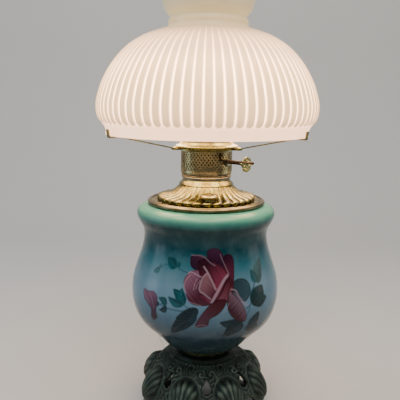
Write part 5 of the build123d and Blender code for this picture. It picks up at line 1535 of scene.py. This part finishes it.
def even_casting(grain):
    """The casting with its points on an even grid, which the relief needs."""
    shape = bmesh.new()
    shape.from_mesh(frame["nodes"]["foot_casting"].data)
    bmesh.ops.remove_doubles(shape, verts=shape.verts, dist=FOOT_CLEAN)
    mesh = bpy.data.meshes.new("foot_leaves")
    shape.to_mesh(mesh)
    shape.free()
    foot = new_object("foot_leaves", mesh)
    grid = foot.modifiers.new("grid", "REMESH")
    grid.mode = "VOXEL"
    grid.voxel_size = grain
    soft = foot.modifiers.new("soft", "SMOOTH")
    soft.factor = 0.5
    soft.iterations = 3
    return plain_mesh(foot, sharp=180)


def build_foot():
    """Openwork casting with its leaves, scrolls and flames cut in its outer side."""
    look = bpy.context.scene.lamp_foot
    foot = even_casting(look.grain)
    place = points_of(foot)
    facing = np.zeros(len(place) * 3, np.float32)
    foot.data.vertices.foreach_get("normal", facing)
    facing = facing.reshape(-1, 3).astype(float)
    distance = np.hypot(place[:, 0], place[:, 1])
    outward = (facing[:, :2] * place[:, :2]).sum(axis=1) / np.maximum(distance, ON_AXIS)
    inside = (distance / MM < CAVITY_RADIUS) & (place[:, 2] / MM < CAVITY_LEVEL) & (outward < 0.1)
    shown = np.clip((np.maximum(outward, facing[:, 2]) - 0.15) / 0.3, 0, 1)
    height = foot_relief(place) * np.where(inside, 0.0, shown)
    moved = place + facing * (height * look.relief)[:, None]
    moved[:, 2] = np.clip(moved[:, 2], 0.0, levels("foot_casting")[1])
    foot.data.vertices.foreach_set("co", moved.astype(np.float32).ravel())
    foot.data.update()
    # ridges paler from wear and a painted highlight; painted shade in the grooves and all over the inside of the
    # hollow under the foot
    add_attribute(foot, "ridge", np.clip(height * 1.3 - 0.3, 0, 1))
    add_attribute(foot, "recess", np.clip(np.where(inside, 1.0, -height * 2.2), 0, 1))
    dress(foot, finish(cast_metal), "foot_casting")


def build_base_cup():
    """Round cup that carries the vase on the foot."""
    points = [(5.05, 0.0), (30.2, 0.0), (31.0, 0.5), (33.0, 2.6), (34.2, 5.0), (34.9, 7.6), (35.5, 10.2),
              (35.5, 11.0), (32.0, 11.0), (27.6, 3.5), (5.05, 3.5)]
    turn_metal("olive_cup", "base_cup", cup_enamel, points)


# ---------------------------------------------------------------- operators
# nodes that are shown as they were made, by finish
AS_MADE = {
    bright_brass: ("font_tank", "draft_tube", "filler_neck", "shade_holder_ring", "shade_arm_right",
                   "shade_arm_back", "shade_arm_left", "arm_rivets", "wick_knob", "socket_adapter",
                   "bulb_cap", "bulb_filament"),
    dark_brass: ("outer_wick_tube", "wick_carrier", "wick_pinion", "shaft_bracket", "shaft_gland"),
    sooty_brass: ("wick_spindle", "lift_rod", "lift_sleeve"),
    zinc_steel: ("tie_pipe", "pipe_nuts", "vase_steel_washer", "socket_contact"),
    phenolic: ("socket_shell", "socket_liner"),
    rubber: ("cup_gasket", "vase_rubber_washer"),
    cotton: ("wick",),
    clear_glass: ("chimney",),
    frosted_bulb: ("bulb_glass",),
}


def build_inner_pieces():
    """Finishes for the pieces that are shown as they were made."""
    for recipe, nodes in AS_MADE.items():
        for node in nodes:
            dress_node(node, finish(recipe))


class LAMP_OT_build_stage(bpy.types.Operator):
    """Paper, camera, lights and sky"""
    bl_idname = "lamp.build_stage"
    bl_label = "Stage"

    def execute(self, context):
        build_stage()
        return {"FINISHED"}


class LAMP_OT_build_cord(bpy.types.Operator):
    """Mains cord with its coil and plug"""
    bl_idname = "lamp.build_cord"
    bl_label = "Cord"

    def execute(self, context):
        build_cord()
        return {"FINISHED"}


class LAMP_OT_build_shade(bpy.types.Operator):
    """Ribbed opal glass shade"""
    bl_idname = "lamp.build_shade"
    bl_label = "Shade"

    def execute(self, context):
        build_shade()
        return {"FINISHED"}


class LAMP_OT_build_vase(bpy.types.Operator):
    """Painted glass vase"""
    bl_idname = "lamp.build_vase"
    bl_label = "Vase"

    def execute(self, context):
        build_vase()
        return {"FINISHED"}


class LAMP_OT_build_foot(bpy.types.Operator):
    """Openwork leaf casting"""
    bl_idname = "lamp.build_foot"
    bl_label = "Foot"

    def execute(self, context):
        build_foot()
        return {"FINISHED"}


class LAMP_OT_build_base_cup(bpy.types.Operator):
    """Olive cup between foot and vase"""
    bl_idname = "lamp.build_base_cup"
    bl_label = "Base cup"

    def execute(self, context):
        build_base_cup()
        return {"FINISHED"}


class LAMP_OT_build_crown(bpy.types.Operator):
    """Gadrooned crown of the font"""
    bl_idname = "lamp.build_crown"
    bl_label = "Crown"

    def execute(self, context):
        build_crown()
        return {"FINISHED"}


class LAMP_OT_build_mouth_ring(bpy.types.Operator):
    """Beaded ring on the vase"""
    bl_idname = "lamp.build_mouth_ring"
    bl_label = "Mouth ring"

    def execute(self, context):
        build_mouth_ring()
        return {"FINISHED"}


class LAMP_OT_build_filler_cap(bpy.types.Operator):
    """Domed filler cap"""
    bl_idname = "lamp.build_filler_cap"
    bl_label = "Filler cap"

    def execute(self, context):
        build_filler_cap()
        return {"FINISHED"}


class LAMP_OT_build_collar(bpy.types.Operator):
    """Cone under the burner"""
    bl_idname = "lamp.build_collar"
    bl_label = "Collar"

    def execute(self, context):
        build_collar()
        return {"FINISHED"}


class LAMP_OT_build_drum(bpy.types.Operator):
    """Beaded band of the burner"""
    bl_idname = "lamp.build_drum"
    bl_label = "Drum"

    def execute(self, context):
        build_drum()
        return {"FINISHED"}


class LAMP_OT_build_basket(bpy.types.Operator):
    """Pierced wall of the burner"""
    bl_idname = "lamp.build_basket"
    bl_label = "Basket"

    def execute(self, context):
        build_basket()
        return {"FINISHED"}


class LAMP_OT_build_gallery(bpy.types.Operator):
    """Gallery pan and coronet"""
    bl_idname = "lamp.build_gallery"
    bl_label = "Gallery"

    def execute(self, context):
        build_gallery()
        return {"FINISHED"}


class LAMP_OT_build_inner_pieces(bpy.types.Operator):
    """Pieces shown as they were made"""
    bl_idname = "lamp.build_inner_pieces"
    bl_label = "Inner pieces"

    def execute(self, context):
        build_inner_pieces()
        return {"FINISHED"}


OPERATORS = (
    LAMP_OT_build_stage, LAMP_OT_build_cord, LAMP_OT_build_shade, LAMP_OT_build_vase,
    LAMP_OT_build_foot, LAMP_OT_build_base_cup, LAMP_OT_build_crown, LAMP_OT_build_mouth_ring,
    LAMP_OT_build_filler_cap, LAMP_OT_build_collar, LAMP_OT_build_drum, LAMP_OT_build_basket,
    LAMP_OT_build_gallery, LAMP_OT_build_inner_pieces,
)


class LAMP_PT_pieces(bpy.types.Panel):
    """Buttons for each piece of the lamp."""
    bl_idname = "LAMP_PT_pieces"
    bl_label = "Vase Oil Lamp"
    bl_space_type = "VIEW_3D"
    bl_region_type = "UI"
    bl_category = "Lamp"

    def draw(self, context):
        for piece in OPERATORS:
            self.layout.operator(piece.bl_idname)


SETTINGS = {"lamp_metal": LampMetalSettings, "lamp_foot": LampFootSettings, "lamp_vase": LampVaseSettings,
            "lamp_shade": LampShadeSettings, "lamp_burner": LampBurnerSettings, "lamp_cord": LampCordSettings,
            "lamp_stage": LampStageSettings}
CLASSES = (*SETTINGS.values(), *OPERATORS, LAMP_PT_pieces)


def register():
    """Make the settings, operators and panel known, and put the settings on the scene."""
    for known in CLASSES:
        bpy.utils.register_class(known)
    for name, group in SETTINGS.items():
        setattr(bpy.types.Scene, name, PointerProperty(type=group))


def unregister():
    """Take away what register has added."""
    for name in SETTINGS:
        delattr(bpy.types.Scene, name)
    for known in reversed(CLASSES):
        bpy.utils.unregister_class(known)


def main():
    """Build every piece."""
    register()
    for piece in OPERATORS:
        getattr(bpy.ops.lamp, piece.bl_idname.split(".")[1])()


if __name__ == "__main__":
    main()
